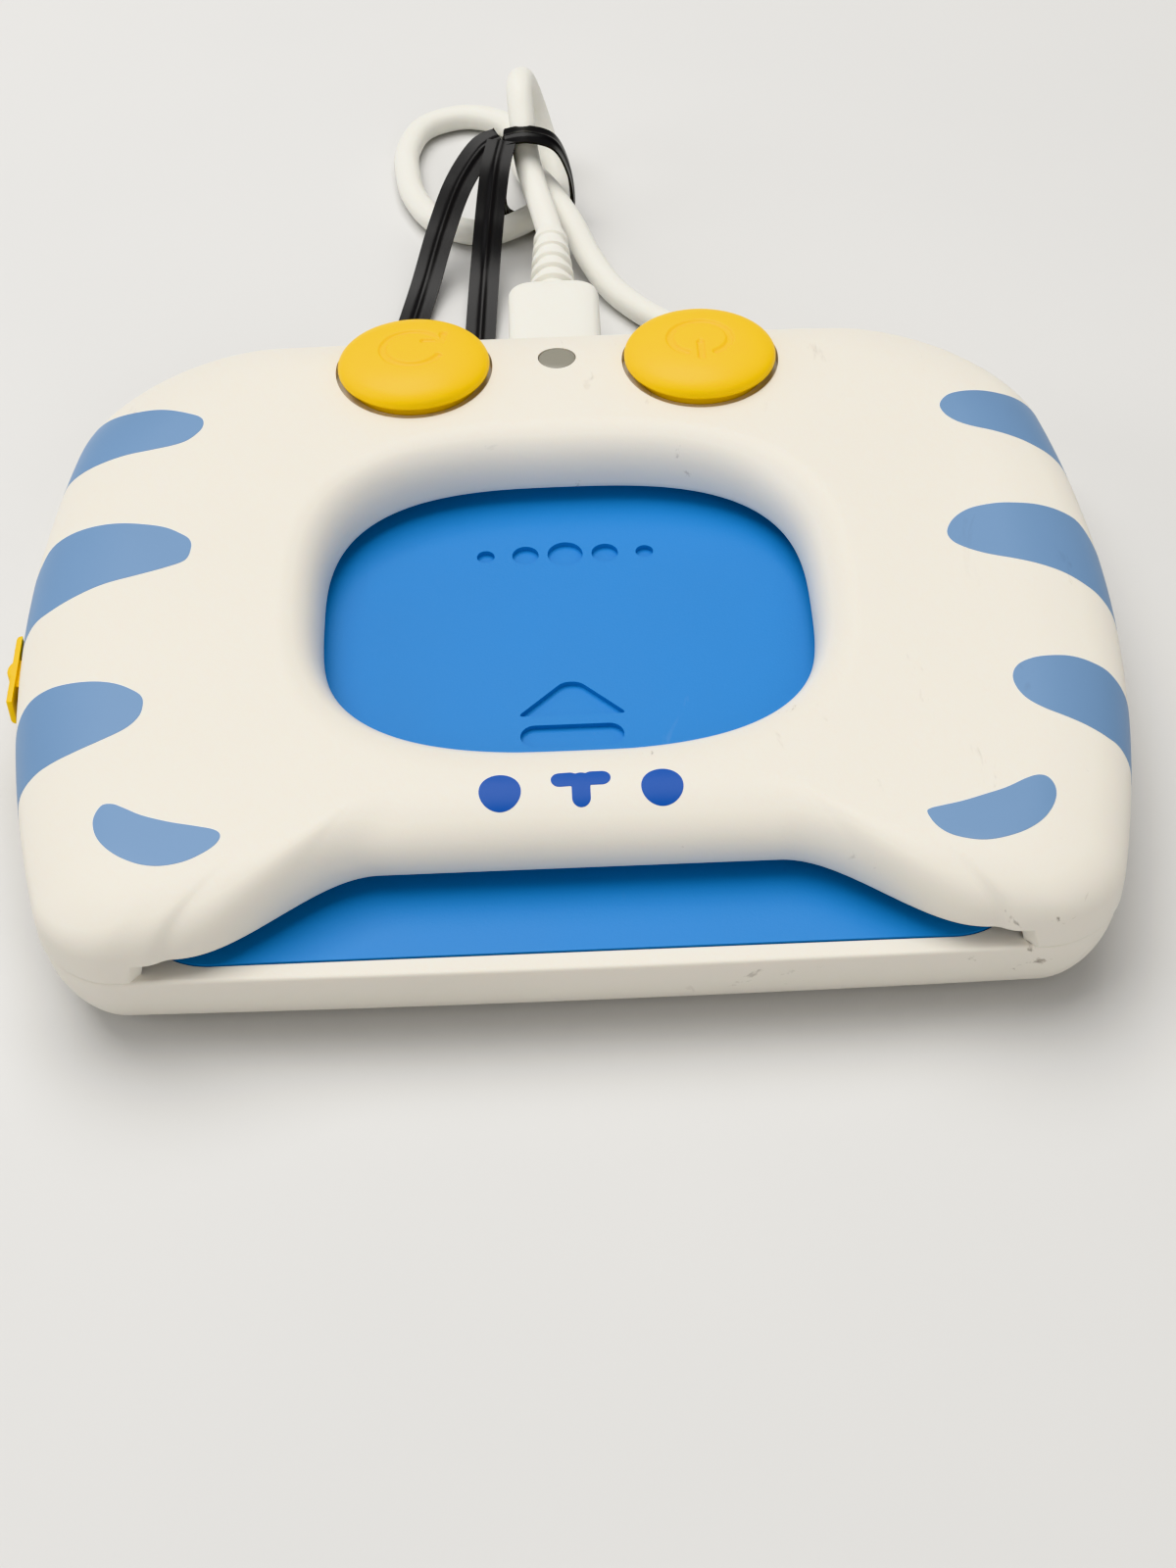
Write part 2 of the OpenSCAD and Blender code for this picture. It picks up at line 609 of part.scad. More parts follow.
// Frames carried along the curve, each turned as little as possible from the last
function frames(p, i, out) = i >= len(p) ? out : let (h = heading(p, i), last = out[i - 1],
    side = unit(last - h * (last * h))) frames(p, i + 1, concat(out, [side]));
module tube(path, profile, first_side) {
    n = len(profile);
    sides = frames(path, 1, [first_side]);
    points = [for (i = [0 : len(path) - 1]) let (h = i == 0 ? unit(path[1] - path[0]) : heading(path, i),
        u = sides[i], v = cross(h, u)) for (q = profile) path[i] + u * q[0] + v * q[1]];
    last = len(path) - 1;
    walls = [for (i = [0 : last - 1]) for (k = [0 : n - 1]) let (m = (k + 1) % n, a = i * n + k,
        b = i * n + m, c = (i + 1) * n + m, d = (i + 1) * n + k) each [[a, c, b], [a, d, c]]];
    polyhedron(points, concat(walls, [[for (k = [0 : n - 1]) k]],
        [[for (k = [n - 1 : -1 : 0]) last * n + k]]));
}
module charging_cable() {
    color(white) tube(smooth(cable_route, 2),
        [for (k = [0 : 7]) cable_r * [cos(45 * k), sin(45 * k)]], [1, 0, 0]);
}
// The far plug lies along the back of the body and points to -X.
grip_size = [16.5, 12.6, 5.8];
usb_a_size = [12, 12, 4.5];
usb_a_wall = 0.3;
usb_a_x = lead_end[0] - grip_size[0];
// A block of the given size whose right end is at x, centred on the plug's axis
module on_plug(x, size) {
    translate([x - size[0], lead_end[1] - size[1] / 2, lead_end[2] - size[2] / 2]) cube(size);
}
module usb_a_moulding() {
    color(white) on_plug(lead_end[0], grip_size);
}
usb_a_room = usb_a_size - [0, 2 * usb_a_wall, 2 * usb_a_wall];
module usb_a_shell() {
    color(metal) difference() {
        on_plug(usb_a_x, usb_a_size);
        on_plug(usb_a_x - 1, usb_a_room);
    }
}
module usb_a_tongue() {
    color(black) translate([usb_a_x - 11, lead_end[1] - usb_a_room[1] / 2,
        lead_end[2] - usb_a_room[2] / 2]) cube([10, usb_a_room[1], 1.8]);
}

// ---- twist tie: a flat band round the bundle with two loose tails ----
tie_w = 4;
tie_t = 0.6;
tie_y = 93.2;
module tie_loop(grow) {
    translate([-5.9 - grow, 0.7 - grow]) square([9.1 + 2 * grow, 13.7 + 2 * grow]);
}
tail_a = [[-6.2, 93.2, 13.8], [-8.8, 92, 13], [-12, 88.6, 10], [-14.6, 83.6, 6],
    [-17, 76.6, 2], [-19.4, 66.6, 0.5]];
tail_b = [[-6, 92, 14.2], [-7, 88.6, 12.2], [-8, 83.6, 8], [-9, 76.8, 3], [-9.8, 66, 0.5]];
module tail(points) {
    tube(smooth(points, 3), [[-tie_w / 2, -tie_t / 2], [tie_w / 2, -tie_t / 2],
        [tie_w / 2, tie_t / 2], [-tie_w / 2, tie_t / 2]], [0.5, 0.86, 0]);
}
module twist_tie() {
    color(black) {
        translate([0, tie_y + tie_w / 2, 0]) rotate([90, 0, 0]) linear_extrude(tie_w)
            difference() {
                tie_loop(tie_t);
                tie_loop(0);
            }
        tail(tail_a);
        tail(tail_b);
    }
}

top_shell();
bottom_shell();
card_bed();
repeat_button();
power_button();
repeat_plunger();
power_plunger();
repeat_switch();
power_switch();
light_pipe();
status_led();
volume_knob();
volume_switch();
main_board();
sound_chip();
usb_socket();
card_sensor_board();
card_sensors();
board_screws();
case_screws();
battery();
battery_lead();
speaker();
speaker_magnet();
speaker_lead();
sensor_lead();
rubber_feet();
charging_plug();
charging_plug_tongue();
strain_relief();
charging_cable();
usb_a_moulding();
usb_a_shell();
usb_a_tongue();
twist_tie();
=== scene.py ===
"""Cat-faced flash-card reader: the shells, card bed, buttons, slider, prints, charging lead and stage.

Sizes are in millimetres while a shape is worked out and metres once it is in a mesh. +Z is up, -Y is the
front where the card goes in, and z = 0 is the table.
"""

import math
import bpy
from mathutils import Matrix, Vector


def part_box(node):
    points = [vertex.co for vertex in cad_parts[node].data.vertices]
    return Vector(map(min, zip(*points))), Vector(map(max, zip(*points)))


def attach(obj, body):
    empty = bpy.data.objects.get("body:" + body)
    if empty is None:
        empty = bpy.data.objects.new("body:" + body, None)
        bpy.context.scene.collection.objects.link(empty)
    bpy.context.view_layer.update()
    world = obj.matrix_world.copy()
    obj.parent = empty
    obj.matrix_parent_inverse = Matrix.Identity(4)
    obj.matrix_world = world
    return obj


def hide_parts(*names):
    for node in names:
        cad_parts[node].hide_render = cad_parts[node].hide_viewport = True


bl_info = {
    "name": "Flash-card reader",
    "version": (1, 0, 0),
    "blender": (4, 5, 0),
    "location": "View3D > Sidebar > Card reader",
    "description": "Builds a cat-faced flash-card reader with its charging lead and a small studio",
    "category": "Add Mesh",
}

import bmesh
import bpy
import numpy as np
from mathutils import Matrix, Vector

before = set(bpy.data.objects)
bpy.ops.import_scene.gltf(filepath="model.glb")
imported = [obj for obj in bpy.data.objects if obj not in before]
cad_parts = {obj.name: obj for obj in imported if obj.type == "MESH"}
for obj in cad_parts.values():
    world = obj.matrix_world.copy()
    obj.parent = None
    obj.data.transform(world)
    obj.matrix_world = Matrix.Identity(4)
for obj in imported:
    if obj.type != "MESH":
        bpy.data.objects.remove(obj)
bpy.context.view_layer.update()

MM = 0.001


def span(node):
    """Lowest and highest corner of a CAD node, in millimetres."""
    low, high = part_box(node)
    return np.array(low) / MM, np.array(high) / MM


BOTTOM_LOW = span("bottom_shell")[0]
TOP_LOW, TOP_HIGH = span("top_shell")
BED_LOW, BED_HIGH = span("card_bed")
FOOT_HIGH = span("rubber_feet")[1]
PLUG_LOW, PLUG_HIGH = span("charging_plug")
RELIEF_LOW, RELIEF_HIGH = span("strain_relief")
KNOB_LOW, KNOB_HIGH = span("volume_knob")
LENS_LOW, LENS_HIGH = span("light_pipe")
CAP_LOW, CAP_HIGH = span("power_button")
USB_A_LOW, USB_A_HIGH = span("usb_a_moulding")

# ---- sizes taken from the frame ----
PART_Z = TOP_LOW[2]
CREST_Z = TOP_HIGH[2]
BED_Z = BED_HIGH[2]
PRINT_ROOM = 0.04
BODY_W = TOP_HIGH[0] - TOP_LOW[0] - 2 * PRINT_ROOM
BODY_D = 2 * TOP_HIGH[1]
FOOT_H = BOTTOM_LOW[2]

# ---- sizes of the outline, as in the CAD model ----
WALL = 1.8
SIDE_BULGE = 7.2
FRONT_BULGE = 0.5
BACK_BULGE = 1.7
FRONT_R = 6.2
BACK_R = 17.0
EDGE_R = 11.0
UNDER_R = 5.0
WINDOW_W = 53.2
WINDOW_D = 44.6
FLARE_R = 4.6
FRONT_FLARE = 0.6
SLOT_W = 88.0
SLOT_H = 2.2
RECESS_D = 8.4
HALF_W = BODY_W / 2 - SIDE_BULGE
HALF_D = (BODY_D - FRONT_BULGE - BACK_BULGE) / 2
MID_Y = (FRONT_BULGE - BACK_BULGE) / 2
BED_FRONT = -BODY_D / 2 + 2.4
FRONT_LIP = BED_FRONT + RECESS_D
WIDE_Z = PART_Z + 3.2
SLOT_Z = BED_Z + SLOT_H
SQUARENESS = 2.9
CAP_R = (CAP_HIGH[0] - CAP_LOW[0]) / 2
BUTTON_X = (CAP_HIGH[0] + CAP_LOW[0]) / 2
BUTTON_Y = BODY_D / 2 - 10.3
BUTTON_Z = CREST_Z - 0.25
CAP_H = 3.19
CAP_GAP = 0.3
SKIRT_HOLE_R = 7.6
DISH_DEPTH = 1.2
CAP_RIM = 0.7
TILT = math.radians(5)
PLUG_Z = (PLUG_LOW[2] + PLUG_HIGH[2]) / 2
CABLE_R = 1.75
GUIDE_W = 1.3
SEAT_GAP = 0.12
RIM_INSET = 0.25
SCREW_HOLE_R = 2.1
FOOT_R = 4.0
GRILLE_HOLE_R = 0.9
PORT_W, PORT_H = 9.2, 3.5
SENSOR_IN = 8.6
SENSOR_HOLE_R = 1.1


class ReaderSizes(bpy.types.PropertyGroup):
    """Sizes of the pieces that are finished here."""

    print_lift: bpy.props.FloatProperty(
        name="Print height", description="How far the printed marks stand above the shell",
        default=0.00003, min=0.00001, max=0.0002, unit="LENGTH")
    symbol_depth: bpy.props.FloatProperty(
        name="Symbol depth", description="Depth of the symbols in the buttons",
        default=0.0003, min=0.0001, max=0.0006, unit="LENGTH")
    arrow_depth: bpy.props.FloatProperty(
        name="Arrow depth", description="Depth of the arrow in the card bed",
        default=0.0006, min=0.0001, max=0.0008, unit="LENGTH")


class ReaderColours(bpy.types.PropertyGroup):
    """Colours of the mouldings and prints."""

    shell: bpy.props.FloatVectorProperty(
        name="Shell", description="Warm white of both shells", subtype="COLOR",
        size=3, min=0, max=1, default=(0.82, 0.78, 0.70))
    bed: bpy.props.FloatVectorProperty(
        name="Card bed", description="Blue of the card bed", subtype="COLOR",
        size=3, min=0, max=1, default=(0.03, 0.21, 0.56))
    stripe: bpy.props.FloatVectorProperty(
        name="Stripes", description="Pale blue of the stripes and ear marks", subtype="COLOR",
        size=3, min=0, max=1, default=(0.165, 0.28, 0.46))
    face: bpy.props.FloatVectorProperty(
        name="Face", description="Dark blue of the eyes and nose", subtype="COLOR",
        size=3, min=0, max=1, default=(0.0, 0.07, 0.36))
    button: bpy.props.FloatVectorProperty(
        name="Buttons", description="Yellow of the buttons and the slider", subtype="COLOR",
        size=3, min=0, max=1, default=(1.0, 0.62, 0.0))
    lead: bpy.props.FloatVectorProperty(
        name="Charging lead", description="White of the lead", subtype="COLOR",
        size=3, min=0, max=1, default=(0.84, 0.83, 0.77))


# ---- mesh helpers ----


def make_object(name, points, faces, body):
    """A mesh object from places in millimetres and index faces, that rides on a body."""
    mesh = bpy.data.meshes.new(name)
    mesh.from_pydata((np.asarray(points) * MM).tolist(), [], faces)
    mesh.update()
    obj = bpy.data.objects.new(name, mesh)
    bpy.context.scene.collection.objects.link(obj)
    if body:
        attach(obj, body)
    return obj


def grid_faces(rows, columns, wrap_rows=False, wrap_columns=False, start=0):
    """Four-sided faces between neighbours of a rows x columns grid of points."""
    i = np.arange(rows if wrap_rows else rows - 1)
    j = np.arange(columns if wrap_columns else columns - 1)
    i, j = np.meshgrid(i, j, indexing="ij")
    a = i * columns + j
    b = i * columns + (j + 1) % columns
    c = ((i + 1) % rows) * columns + (j + 1) % columns
    d = ((i + 1) % rows) * columns + j
    return (np.stack([a, b, c, d], -1).reshape(-1, 4) + start).tolist()


def two_sheets(n, m):
    """Faces of two n by m grids of points, one after the other, joined round their rims."""
    faces = grid_faces(n, m) + [f[::-1] for f in grid_faces(n, m, start=n * m)]
    rim = np.r_[np.arange(m), np.arange(1, n) * m + m - 1,
                (n - 1) * m + np.arange(m - 2, -1, -1), np.arange(n - 2, 0, -1) * m]
    after = np.roll(rim, -1)
    return faces + np.stack([rim, after, after + n * m, rim + n * m], -1).tolist()


def tidy(obj, angle=35.0):
    """Merges doubled points, turns all faces outwards, and smooths all but sharp edges."""
    mesh = obj.data
    work = bmesh.new()
    work.from_mesh(mesh)
    bmesh.ops.remove_doubles(work, verts=work.verts, dist=2e-7)
    bmesh.ops.dissolve_degenerate(work, edges=work.edges, dist=1e-8)
    bmesh.ops.recalc_face_normals(work, faces=work.faces)
    work.to_mesh(mesh)
    work.free()
    smooth(obj, angle)


def smooth(obj, angle=35.0):
    """Shades an object smooth, apart from edges sharper than angle degrees."""
    mesh = obj.data
    mesh.polygons.foreach_set("use_smooth", np.ones(len(mesh.polygons), bool))
    mesh.set_sharp_from_angle(angle=math.radians(angle))
    mesh.update()


def carve(obj, cutters, angle=35.0):
    """Takes the cutters' shapes out of an object and removes the cutters."""
    for cutter in cutters:
        cut = obj.modifiers.new("cut", "BOOLEAN")
        cut.operation = "DIFFERENCE"
        cut.solver = "EXACT"
        cut.object = cutter
    bpy.context.view_layer.update()
    graph = bpy.context.evaluated_depsgraph_get()
    carved = bpy.data.meshes.new_from_object(obj.evaluated_get(graph))
    obj.modifiers.clear()
    old = obj.data
    obj.data = carved
    bpy.data.meshes.remove(old)
    for cutter in cutters:
        bpy.data.objects.remove(cutter)
    smooth(obj, angle)


def solid_of_revolution(name, profile, body, steps=96, place=None):
    """A profile of (radius, height) pairs turned round +Z; place maps its points to the model."""
    profile = np.asarray(profile, float)
    turn = np.linspace(0, 2 * np.pi, steps, endpoint=False)[:, None]
    points = np.stack([profile[:, 0] * np.cos(turn), profile[:, 0] * np.sin(turn),
                       profile[:, 1] + 0 * turn], -1)
    if place is not None:
        points = place(points)
    obj = make_object(name, points.reshape(-1, 3),
                      grid_faces(steps, len(profile), wrap_rows=True), body)
    tidy(obj)
    return obj


def prism(name, outline, low, high, body=None):
    """An outline of (x, y) points raised from height low to height high, with flat ends."""
    outline = np.asarray(outline, float)
    n = len(outline)
    points = np.concatenate([np.c_[outline, np.full(n, low)], np.c_[outline, np.full(n, high)]])
    faces = grid_faces(2, n, wrap_columns=True)
    faces += [list(range(n)), list(range(n, 2 * n))]
    obj = make_object(name, points, faces, body)
    tidy(obj)
    return obj


def block(name, low, high, body=None):
    """A plain box between two corners, used to cut with."""
    (x0, y0, z0), (x1, y1, z1) = low, high
    return prism(name, [(x0, y0), (x1, y0), (x1, y1), (x0, y1)], z0, z1, body)


def curve_through(points, cuts):
    """A smooth curve through the points: each stretch is the cubic whose end slopes are half the
    step between the points on either side (Catmull-Rom), in cuts equal steps."""
    p = np.asarray(points, float)
    a = p[np.r_[0, 0:len(p) - 2]]
    b, c = p[:-1], p[1:]
    d = p[np.r_[2:len(p), len(p) - 1]]
    t = (np.arange(cuts) / cuts)[None, :, None]
    a, b, c, d = (x[:, None, :] for x in (a, b, c, d))
    body = 0.5 * (2 * b + (c - a) * t + (2 * a - 5 * b + 4 * c - d) * t**2
                  + (3 * b - a - 3 * c + d) * t**3)
    return np.concatenate([body.reshape(-1, p.shape[1]), p[-1:]])


def arc(x, y, radius, start, steps, sweep=90):
    """Points along a circular arc from start degrees."""
    turn = np.radians(start + sweep * np.linspace(0, 1, steps + 1))
    return np.stack([x + radius * np.cos(turn), y + radius * np.sin(turn)], -1)


def between(p, q, steps):
    """Evenly spaced points between two points, without the ends."""
    t = np.arange(1, steps + 1)[:, None] / (steps + 1)
    return np.asarray(p) + (np.asarray(q) - np.asarray(p)) * t


def ease(t):
    """0 below 0, 1 above 1, and 3t^2 - 2t^3 between."""
    t = np.clip(t, 0, 1)
    return t * t * (3 - 2 * t)


# ---- shape of the body ----

CORNER_STEPS, SIDE_STEPS, FRONT_STEPS = 28, 44, 150


def body_outline(inset, corner=CORNER_STEPS, side=SIDE_STEPS, front=FRONT_STEPS):
    """A rounded rectangle whose sides bulge: x grows by side_bulge/a (1 - (y/b)^2) of itself, and y
    by its own bulge/b (1 - (x/a)^2). The whole outline moves inwards by inset."""
    a, b = HALF_W - inset, HALF_D - inset
    rf, rb = max(FRONT_R - inset, 2), max(BACK_R - inset, 3)
    p = np.concatenate([
        arc(a - rf, rf - b, rf, -90, corner), between((a, rf - b), (a, b - rb), side),
        arc(a - rb, b - rb, rb, 0, corner), between((a - rb, b), (rb - a, b), side),
        arc(rb - a, b - rb, rb, 90, corner), between((-a, b - rb), (-a, rf - b), side),
        arc(rf - a, rf - b, rf, 180, corner), between((rf - a, -b), (a - rf, -b), front)])
    x, y = p[:, 0], p[:, 1]
    y_bulge = np.where(y < 0, FRONT_BULGE, BACK_BULGE)
    return np.stack([x * (1 + SIDE_BULGE / a * (1 - (y / b) ** 2)),
                     MID_Y + y * (1 + y_bulge / b * (1 - (x / a) ** 2))], -1)


RECESS_FLAT = SLOT_W / 2 - 24
RECESS_END = SLOT_W / 2 - 4
RECESS_SOFT = 1.2


def recess_y(x):
    """Front edge of the top shell over the bed: flat in the middle, then an S-curve to the ears."""
    x = np.abs(x)
    return (FRONT_LIP - (RECESS_D + 1.6) * ease((x - RECESS_FLAT) / (RECESS_END - RECESS_FLAT))
            - 12 * ease((x - RECESS_END) / 8))


def top_outline():
    """The body's outline with its front pulled back to the recess, by a softened maximum."""
    p = body_outline(0)
    gap = recess_y(p[:, 0]) - p[:, 1]
    gap = np.where(p[:, 1] > 0, -40, gap)
    lift = (gap + np.sqrt(gap**2 + RECESS_SOFT**2)) / 2
    return np.stack([p[:, 0], p[:, 1] + np.where(gap > -20, lift, 0)], -1)


def window_points(p):
    """The squircle |x|^n + |y|^n = 1, stretched to the window, on the ray to each outline point."""
    turn = np.arctan2(p[:, 1] / BODY_D, p[:, 0] / BODY_W)
    c, s = np.cos(turn), np.sin(turn)
    r = (np.abs(c) ** SQUARENESS + np.abs(s) ** SQUARENESS) ** (-1 / SQUARENESS)
    return np.stack([r * c * WINDOW_W / 2, r * s * WINDOW_D / 2], -1)


OUTER = top_outline()
INNER = window_points(OUTER)
REACH = np.linalg.norm(INNER - OUTER, axis=1)
TOWARDS = (INNER - OUTER) / REACH[:, None]
EDGE_STEPS = 26
CREST_STEPS = 8


def over_the_top(shrink):
    """Profiles from the outer edge to the window lip, one row for each ray. The height is
    sqrt(1 - (1 - h/R)^2) of the rise at distance h along a ray, an ellipse's quarter, at each edge
    and level between, all moved inwards by shrink."""
    frontness = np.maximum(0, -2 * INNER[:, 1] / WINDOW_D)
    ro = np.minimum(EDGE_R, 0.47 * REACH)[:, None]
    ri = np.minimum(FLARE_R * (1 + FRONT_FLARE * frontness**2), 0.5 * REACH)[:, None]
    turn = np.radians(np.linspace(0, 90, EDGE_STEPS + 1))[None, :]
    length = REACH[:, None]
    rise = CREST_Z - shrink - WIDE_Z
    out_h = shrink + (ro - shrink) * (1 - np.cos(turn))
    out_z = WIDE_Z + rise * np.sin(turn)
    back = turn[:, ::-1]
    in_h = length - shrink - (ri - shrink) * (1 - np.cos(back))
    in_z = SLOT_Z + (CREST_Z - shrink - SLOT_Z) * np.sin(back)
    t = (np.arange(1, CREST_STEPS) / CREST_STEPS)[None, :]
    mid_h = out_h[:, -1:] + (in_h[:, :1] - out_h[:, -1:]) * t
    mid_z = np.full_like(mid_h, CREST_Z - shrink)
    h = np.concatenate([out_h, mid_h, in_h], 1)
    z = np.concatenate([out_z + 0 * out_h, mid_z, in_z + 0 * in_h], 1)
    return h, z


def on_rays(h, z):
    """Points at distance h along each ray and height z."""
    xy = OUTER[:, None, :] + TOWARDS[:, None, :] * h[..., None]
    return np.concatenate([xy, z[..., None]], -1)


def shell_foot():
    """Height of the top shell's lower edge on each ray: the parting line, or the card slot's
    ceiling where the slot runs through the front."""
    in_slot = (np.abs(OUTER[:, 0]) < SLOT_W / 2) & (OUTER[:, 1] < 0)
    return np.where(in_slot, SLOT_Z, PART_Z)


FOOT_Z = shell_foot()


def outer_skin():
    """The outer face of the top shell, ray by ray, from its lower edge to the window's lip."""
    h, z = over_the_top(0)
    round_edge = 0.45
    turn = np.radians(np.linspace(0, 90, 6))[None, :]
    low_h = round_edge * (1 - np.sin(turn)) + 0 * FOOT_Z[:, None]
    low_z = FOOT_Z[:, None] + round_edge * (1 - np.cos(turn))
    return on_rays(np.concatenate([low_h, h], 1), np.concatenate([low_z, z], 1))


SKIN = outer_skin()


def on_skin(rows, columns):
    """Points of the outer skin at fractional ray and profile numbers, by straight blending."""
    n, m = SKIN.shape[:2]
    i0 = np.floor(rows).astype(int)
    j0 = np.clip(np.floor(columns).astype(int), 0, m - 2)
    f, g = (rows - i0)[..., None], (columns - j0)[..., None]
    a, b = SKIN[i0 % n, j0], SKIN[i0 % n, j0 + 1]
    c, d = SKIN[(i0 + 1) % n, j0], SKIN[(i0 + 1) % n, j0 + 1]
    return (a * (1 - g) + b * g) * (1 - f) + (c * (1 - g) + d * g) * f


def skin_place(points):
    """Ray and profile numbers of the skin's points nearest to the given places: the nearest grid
    point, then Newton steps on the skin along the two grid directions."""
    points = np.atleast_2d(np.asarray(points, float))
    flat = SKIN.reshape(-1, 3)
    nearest = np.array([np.argmin(((flat - p) ** 2).sum(1)) for p in points])
    rows = (nearest // SKIN.shape[1]).astype(float)
    columns = (nearest % SKIN.shape[1]).astype(float)
    step = 0.25
    for _ in range(6):
        here = on_skin(rows, columns)
        along = (on_skin(rows + step, columns) - on_skin(rows - step, columns)) / (2 * step)
        across = (on_skin(rows, columns + step) - on_skin(rows, columns - step)) / (2 * step)
        miss = points - here
        aa, ab, bb = (along**2).sum(-1), (along * across).sum(-1), (across**2).sum(-1)
        am, bm = (along * miss).sum(-1), (across * miss).sum(-1)
        det = aa * bb - ab**2 + 1e-9
        rows = rows + np.clip((am * bb - bm * ab) / det, -2, 2)
        columns = np.clip(columns + np.clip((bm * aa - am * ab) / det, -2, 2), 0.01,
                          SKIN.shape[1] - 1.02)
    return np.stack([rows, columns], -1)


def height_at(xy):
    """Height of the skin over points of the plan, from the nearest point of its crest side."""
    guess = np.c_[np.asarray(xy, float), np.full(len(xy), CREST_Z)]
    for _ in range(6):
        place = skin_place(guess)
        guess[:, 2] = on_skin(place[:, 0], place[:, 1])[:, 2]
    return guess


def build_top_shell():
    """Outer skin, lip and inner skin in one closed ring, with the card guides inside."""
    inner_h, inner_z = over_the_top(WALL)
    lip_turn = np.radians(np.linspace(0, 90, 5))[None, :]
    lip = 0.35
    outer_lip_h = REACH[:, None] - lip * (1 - np.cos(lip_turn))
    lip_z = SLOT_Z - lip * np.sin(lip_turn)
    foot = FOOT_Z[:, None]
    inner_foot = on_rays(np.full_like(foot, WALL), np.minimum(foot, WIDE_Z - 0.1))
    lips = on_rays(outer_lip_h, lip_z + 0 * outer_lip_h)
    inside = on_rays(inner_h, inner_z)[:, ::-1]
    ring = np.concatenate([SKIN, lips[:, 1:], inside, inner_foot], 1)
    rays, loop = ring.shape[:2]
    shell = make_object("top_shell_skin", ring.reshape(-1, 3),
                        grid_faces(rays, loop, wrap_rows=True, wrap_columns=True),
                        "reader")
    tidy(shell)
    cutters = [button_cutter(side) for side in (-1, 1)]
    cutters.append(prism("lens_hole", arc(0, LENS_Y, LENS_R + 0.06, 0, 63, 360)[:-1],
                         WIDE_Z, CREST_Z + 4))
    cutters.append(block("slider_slot", (-HALF_W - SIDE_BULGE - 3, KNOB_Y - 4.3, KNOB_Z - 1.1),
                         (-HALF_W - SIDE_BULGE + 5, KNOB_Y + 4.3, KNOB_Z + 1.1)))
    carve(shell, cutters)
    guide_top = CREST_Z - WALL - 0.3
    guides = []
    for side in (-1, 1):
        x0, x1 = sorted((side * (SLOT_W / 2), side * (SLOT_W / 2 + GUIDE_W)))
        guides.append(block("card_guide_right" if side > 0 else "card_guide_left",
                            (x0, -30, PART_Z + 0.2), (x1, BED_HIGH[1], guide_top),
                            "reader"))
    guides.append(block("card_stop", (-SLOT_W / 2, BED_HIGH[1] + 0.2, PART_Z + 0.2),
                        (SLOT_W / 2, BED_HIGH[1] + 1.5, guide_top), "reader"))
    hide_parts("top_shell")
    return [shell] + guides


LENS_Y = (LENS_LOW[1] + LENS_HIGH[1]) / 2
LENS_R = (LENS_HIGH[0] - LENS_LOW[0]) / 2
KNOB_Y = (KNOB_LOW[1] + KNOB_HIGH[1]) / 2
KNOB_Z = (KNOB_LOW[2] + KNOB_HIGH[2]) / 2


def button_frame(side):
    """Maps points about a button's own centre to the model: tilted back, then moved to its seat."""
    def place(points):
        x, y, z = points[..., 0], points[..., 1], points[..., 2]
        return np.stack([x + side * BUTTON_X,
                         BUTTON_Y + y * math.cos(TILT) + z * math.sin(TILT),
                         BUTTON_Z - y * math.sin(TILT) + z * math.cos(TILT)], -1)
    return place


def button_cutter(side):
    """A stepped round plug: the skirt's hole below and the wider dish round the cap above."""
    profile = [(0, -14), (SKIRT_HOLE_R, -14), (SKIRT_HOLE_R, -DISH_DEPTH),
               (CAP_R + CAP_GAP, -DISH_DEPTH), (CAP_R + CAP_GAP, 9), (0, 9)]
    return solid_of_revolution("button_cutter", profile, None, place=button_frame(side), steps=120)


def bowl_profile():
    """Heights and insets from the flat bottom round the lower edge to the rim: a quarter ellipse,
    then a small rounded rim."""
    turn = np.radians(np.linspace(90, 0, 22))
    rim = 0.4
    inset = RIM_INSET + UNDER_R * (1 - np.cos(turn))
    z = (PART_Z - rim) - (PART_Z - rim - FOOT_H) * np.sin(turn)
    rim_turn = np.radians(np.linspace(0, 90, 6))[1:]
    return (np.r_[inset, RIM_INSET + rim * (1 - np.cos(rim_turn))],
            np.r_[z, PART_Z - rim + rim * np.sin(rim_turn)])


def ring_solid(name, insets, heights, body=None):
    """A closed solid of body outlines at the given insets and heights, with flat ends."""
    rings = [np.c_[body_outline(d), np.full(len(OUTER), z)] for d, z in zip(insets, heights)]
    rings = np.array(rings)
    n = rings.shape[1]
    faces = grid_faces(len(rings), n, wrap_columns=True)
    last = (len(rings) - 1) * n
    faces += [list(range(n)), list(range(last, last + n))]
    obj = make_object(name, rings.reshape(-1, 3), faces, body)
    tidy(obj)
    return obj


BED_HALF = (BED_HIGH[0] - BED_LOW[0]) / 2
BED_CORNER = 7.6


def bed_outline(grow):
    """The bed's plan: square at the back, with two rounded front corners."""
    a, f = BED_HALF + grow, BED_LOW[1] - grow
    back = BED_HIGH[1] + grow
    return np.concatenate([arc(a - BED_CORNER, f + BED_CORNER, BED_CORNER, -90, 24),
                           [(a, back), (-a, back)],
                           arc(BED_CORNER - a, f + BED_CORNER, BED_CORNER, 180, 24)])


